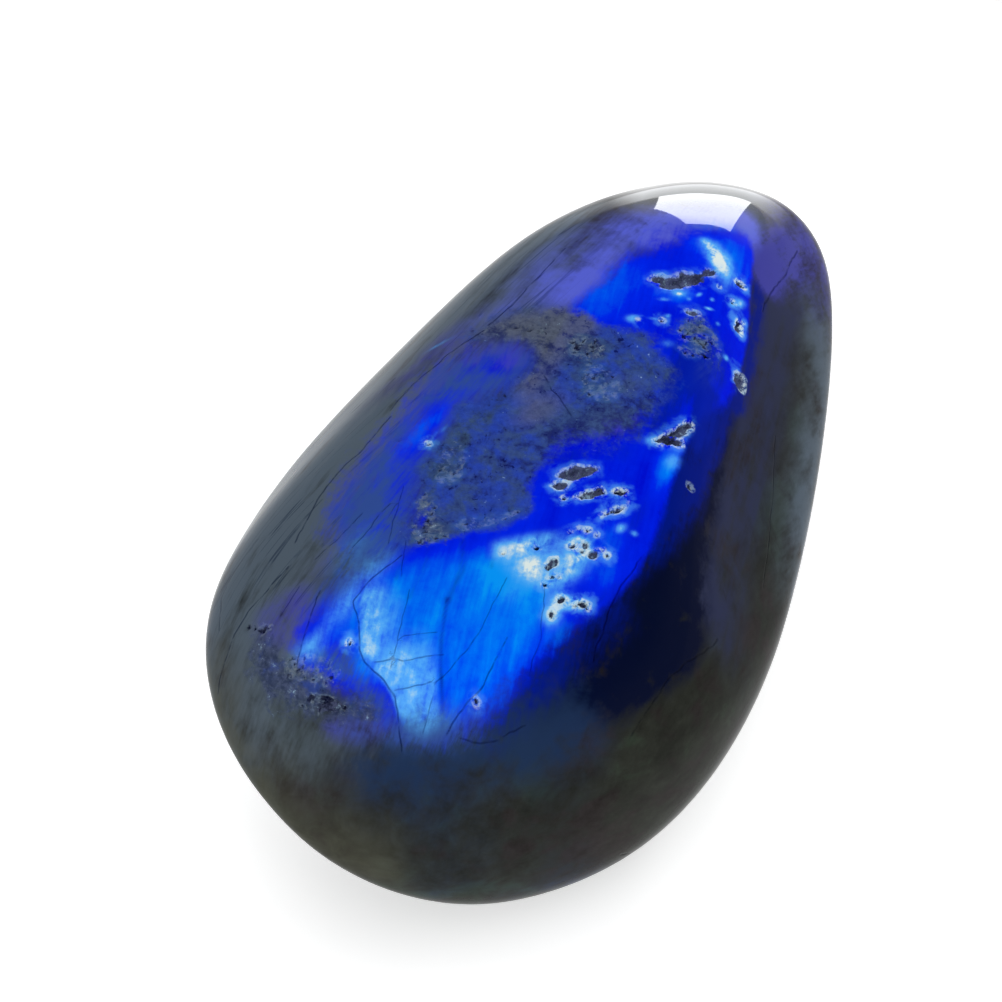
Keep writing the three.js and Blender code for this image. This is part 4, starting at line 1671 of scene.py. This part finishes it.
@dataclass
class Stone:
    """The pebble: its form, grid, markings and finish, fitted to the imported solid's box."""

    name: str = "pebble_skin"
    node: str = "stone"
    body: str = "root"
    form: StoneForm = field(default_factory=StoneForm)
    grid: SkinGrid = field(default_factory=SkinGrid)
    markings: Markings = field(default_factory=Markings)
    finish: StoneFinish = field(default_factory=StoneFinish)

    def build(self) -> bpy.types.Object:
        """Makes the skin, dresses it and lets it stand for the solid.

        Returns:
            The piece.
        """
        directions = self.grid.directions(self.form)
        planes = self.form.planes(self.form.egg(directions))
        skin = self.form.skin(directions, planes)
        poles = self.form.skin(np.array([[0.0, 1.0, 0.0], [0.0, -1.0, 0.0]]), planes)
        low, high = skin.min((0, 1)), skin.max((0, 1))
        middle = np.array([(low[0] + high[0]) / 2, (low[1] + high[1]) / 2, 0.0])
        normals = grid_normals(skin)
        deep, fields = self.markings.fields(skin - middle, normals[..., 2], (high - low)[:2] / 2)
        sunk = skin - deep[..., None] * normals
        points = self.placed(np.concatenate([sunk.reshape(-1, 3), poles]), low, high)
        piece = in_scene(self.name, self.mesh(points, *directions.shape[:2]))
        for mark, values in fields.items():
            self.keep(piece.data, mark, values)
        piece.data.materials.append(self.finish.material("labradorescent_feldspar"))
        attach(piece, self.body)
        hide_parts(self.node)
        return piece

    def placed(self, points: Array, low: Array, high: Array) -> Array:
        """Points in metres, with the skin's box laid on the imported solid's box."""
        box_low, box_high = (np.array(corner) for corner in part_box(self.node))
        return box_low + (points - low) / (high - low) * (box_high - box_low)

    def mesh(self, points: Array, rows: int, columns: int) -> bpy.types.Mesh:
        """Closed mesh of the grid: quads between the rows and a fan at either pole.

        Args:
            points: Points of the grid, then the two poles.
            rows: Rows of the grid.
            columns: Columns of the grid, which close round.

        Returns:
            The mesh, its faces outward.
        """
        index = np.arange(rows * columns).reshape(rows, columns)
        right = np.roll(index, -1, axis=1)
        quads = np.stack([index[:-1], right[:-1], right[1:], index[1:]], -1).reshape(-1, 4)
        nose = np.full(columns, rows * columns)
        tail = nose + 1
        fans = np.concatenate(
            [np.stack([nose, right[0], index[0]], -1), np.stack([tail, index[-1], right[-1]], -1)]
        )
        first = points[quads[:, 0]]
        turns = np.cross(points[quads[:, 1]] - first, points[quads[:, 2]] - first)
        if (turns * (first - points.mean(0))).sum() < 0:
            quads, fans = quads[:, ::-1], fans[:, ::-1]
        mesh = bpy.data.meshes.new(self.name)
        mesh.from_pydata(points.tolist(), [], quads.tolist() + fans.tolist())
        mesh.polygons.foreach_set("use_smooth", np.ones(len(mesh.polygons), bool))
        mesh.update()
        return mesh

    @staticmethod
    def keep(mesh: bpy.types.Mesh, mark: Mark, values: Array) -> None:
        """Keeps a field on the mesh, with each pole taking the mean of the row beside it.

        Args:
            mesh: The skin's mesh.
            mark: What the field is.
            values: The field, in rows and columns.
        """
        poles = [values[0].mean(), values[-1].mean()]
        whole = np.concatenate([values.reshape(-1), poles]).astype(np.float32)
        attribute = mesh.attributes.new(mark.value, "FLOAT", "POINT")
        attribute.data.foreach_set("value", whole)


@dataclass(frozen=True)
class SoftBox:
    """Square soft light, unseen in reflections, aimed at the stone: its place, side and power."""

    name: str
    place: Triple
    side: float
    power: float

    def build(self) -> bpy.types.Object:
        """Makes the light.

        Returns:
            The light.
        """
        light = bpy.data.lights.new(self.name, "AREA")
        light.shape, light.size, light.energy = "SQUARE", self.side, self.power
        lamp = in_scene(self.name, light)
        aim(lamp, self.place, -Vector(self.place))
        lamp.visible_glossy = False
        return lamp


@dataclass(frozen=True)
class Sheet:
    """Glowing sheet that only the stone's polish and, if it lights, the scene can see."""

    name: str
    corners: Sequence[Triple]
    strength: float
    lights: bool

    def build(self) -> None:
        """Makes the sheet."""
        finish = GlowFinish(self.strength).material(f"{self.name}_glow")
        sheet = panel(self.name, self.corners, finish)
        sheet.visible_camera = False
        sheet.visible_diffuse = self.lights


def panel(name: str, corners: Sequence[Triple], finish: bpy.types.Material) -> bpy.types.Object:
    """Flat sheet with the given corners.

    Args:
        name: Name of the sheet.
        corners: Its corners in metres, in turn.
        finish: Its material.

    Returns:
        The sheet.
    """
    mesh = bpy.data.meshes.new(name)
    mesh.from_pydata([list(corner) for corner in corners], [], [list(range(len(corners)))])
    mesh.materials.append(finish)
    return in_scene(name, mesh)


@dataclass
class Studio:
    """Pale floor, soft light, a window beyond the narrow end and the camera, in metres."""

    floor_side: float = 1.6
    azimuth: float = 18.0
    elevation: float = 52.0
    distance: float = 0.1537
    target: Triple = (-0.00284, 0.00144, 0.009)
    lens: float = 100.0
    sensor: float = 36.0
    nearest: float = 0.005
    sky_colour: Colour = (0.94, 0.97, 1.0, 1.0)
    sky_heights: tuple[float, float] = (0.15, 0.5)
    horizon: float = 0.9
    zenith: float = 0.04
    sheets: Sequence[Sheet] = each(
        Sheet,
        ("window", ((-0.101, 0.366, 0.0), (0.043, 0.366, 0.0), (0.1, 0.366, 0.162),
                    (0.04, 0.366, 0.173), (-0.034, 0.366, 0.184), (-0.093, 0.366, 0.095)),
         6.5, True),
        ("sill", ((-0.12, 0.06, 0.001), (0.05, 0.06, 0.001), (0.09, 0.36, 0.001),
                  (-0.12, 0.36, 0.001)),
         2.5, False),
    )
    boxes: Sequence[SoftBox] = each(
        SoftBox,
        ("overhead", (0.0, 0.2, 2.0), 2.4, 36.0),
        ("front_fill", (0.3, -1.8, 0.8), 2.0, 14.0),
    )

    def build(self) -> None:
        """Makes the floor, the lights, the sky and the camera."""
        half = self.floor_side / 2
        corners = [(-half, -half, 0.0), (half, -half, 0.0), (half, half, 0.0), (-half, half, 0.0)]
        floor = panel("floor", corners, FloorFinish().material("pale_paper"))
        for light in (*self.sheets, *self.boxes):
            light.build()
        self.sky()
        self.camera()
        bpy.context.scene.view_settings.view_transform = "Standard"

    def sky(self) -> None:
        """World that is pale near the horizon and dark overhead."""
        world = bpy.data.worlds.new("studio")
        bpy.context.scene.world = world
        n = Nodes.of(world)
        way = n.out("ShaderNodeTexCoord", output="Generated")
        height = n.out("ShaderNodeSeparateXYZ", {}, {"Vector": way}, "Z")
        light = height.step(*self.sky_heights, self.horizon, self.zenith)
        values = {"Color": self.sky_colour, "Strength": light}
        n.surface("ShaderNodeBackground", values, "ShaderNodeOutputWorld")

    def camera(self) -> None:
        """Camera at its distance from the target, behind the azimuth and above the floor."""
        turn, rise = math.radians(self.azimuth), math.radians(self.elevation)
        level = math.cos(rise)
        back = Vector((math.sin(turn) * level, -math.cos(turn) * level, math.sin(rise)))
        data = bpy.data.cameras.new("camera")
        data.lens, data.sensor_width, data.clip_start = self.lens, self.sensor, self.nearest
        camera = in_scene("camera", data)
        aim(camera, Vector(self.target) + back * self.distance, -back)
        bpy.context.scene.camera = camera


def write_sizes() -> None:
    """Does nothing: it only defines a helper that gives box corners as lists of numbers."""

    def plain(bounds: Sequence[Sequence[float]]) -> list[list[float]]:
        """Corners as lists of numbers."""
        return [[float(value) for value in corner] for corner in bounds]


def main() -> None:
    """Builds the studio and the stone, and reports the stone's piece."""
    logging.basicConfig(level=logging.INFO, format="%(name)s: %(message)s")
    Studio().build()
    piece = Stone().build()
    LOG.info("%s: %d faces", piece.name, len(piece.data.polygons))
    write_sizes()


if __name__ == "__main__":
    main()
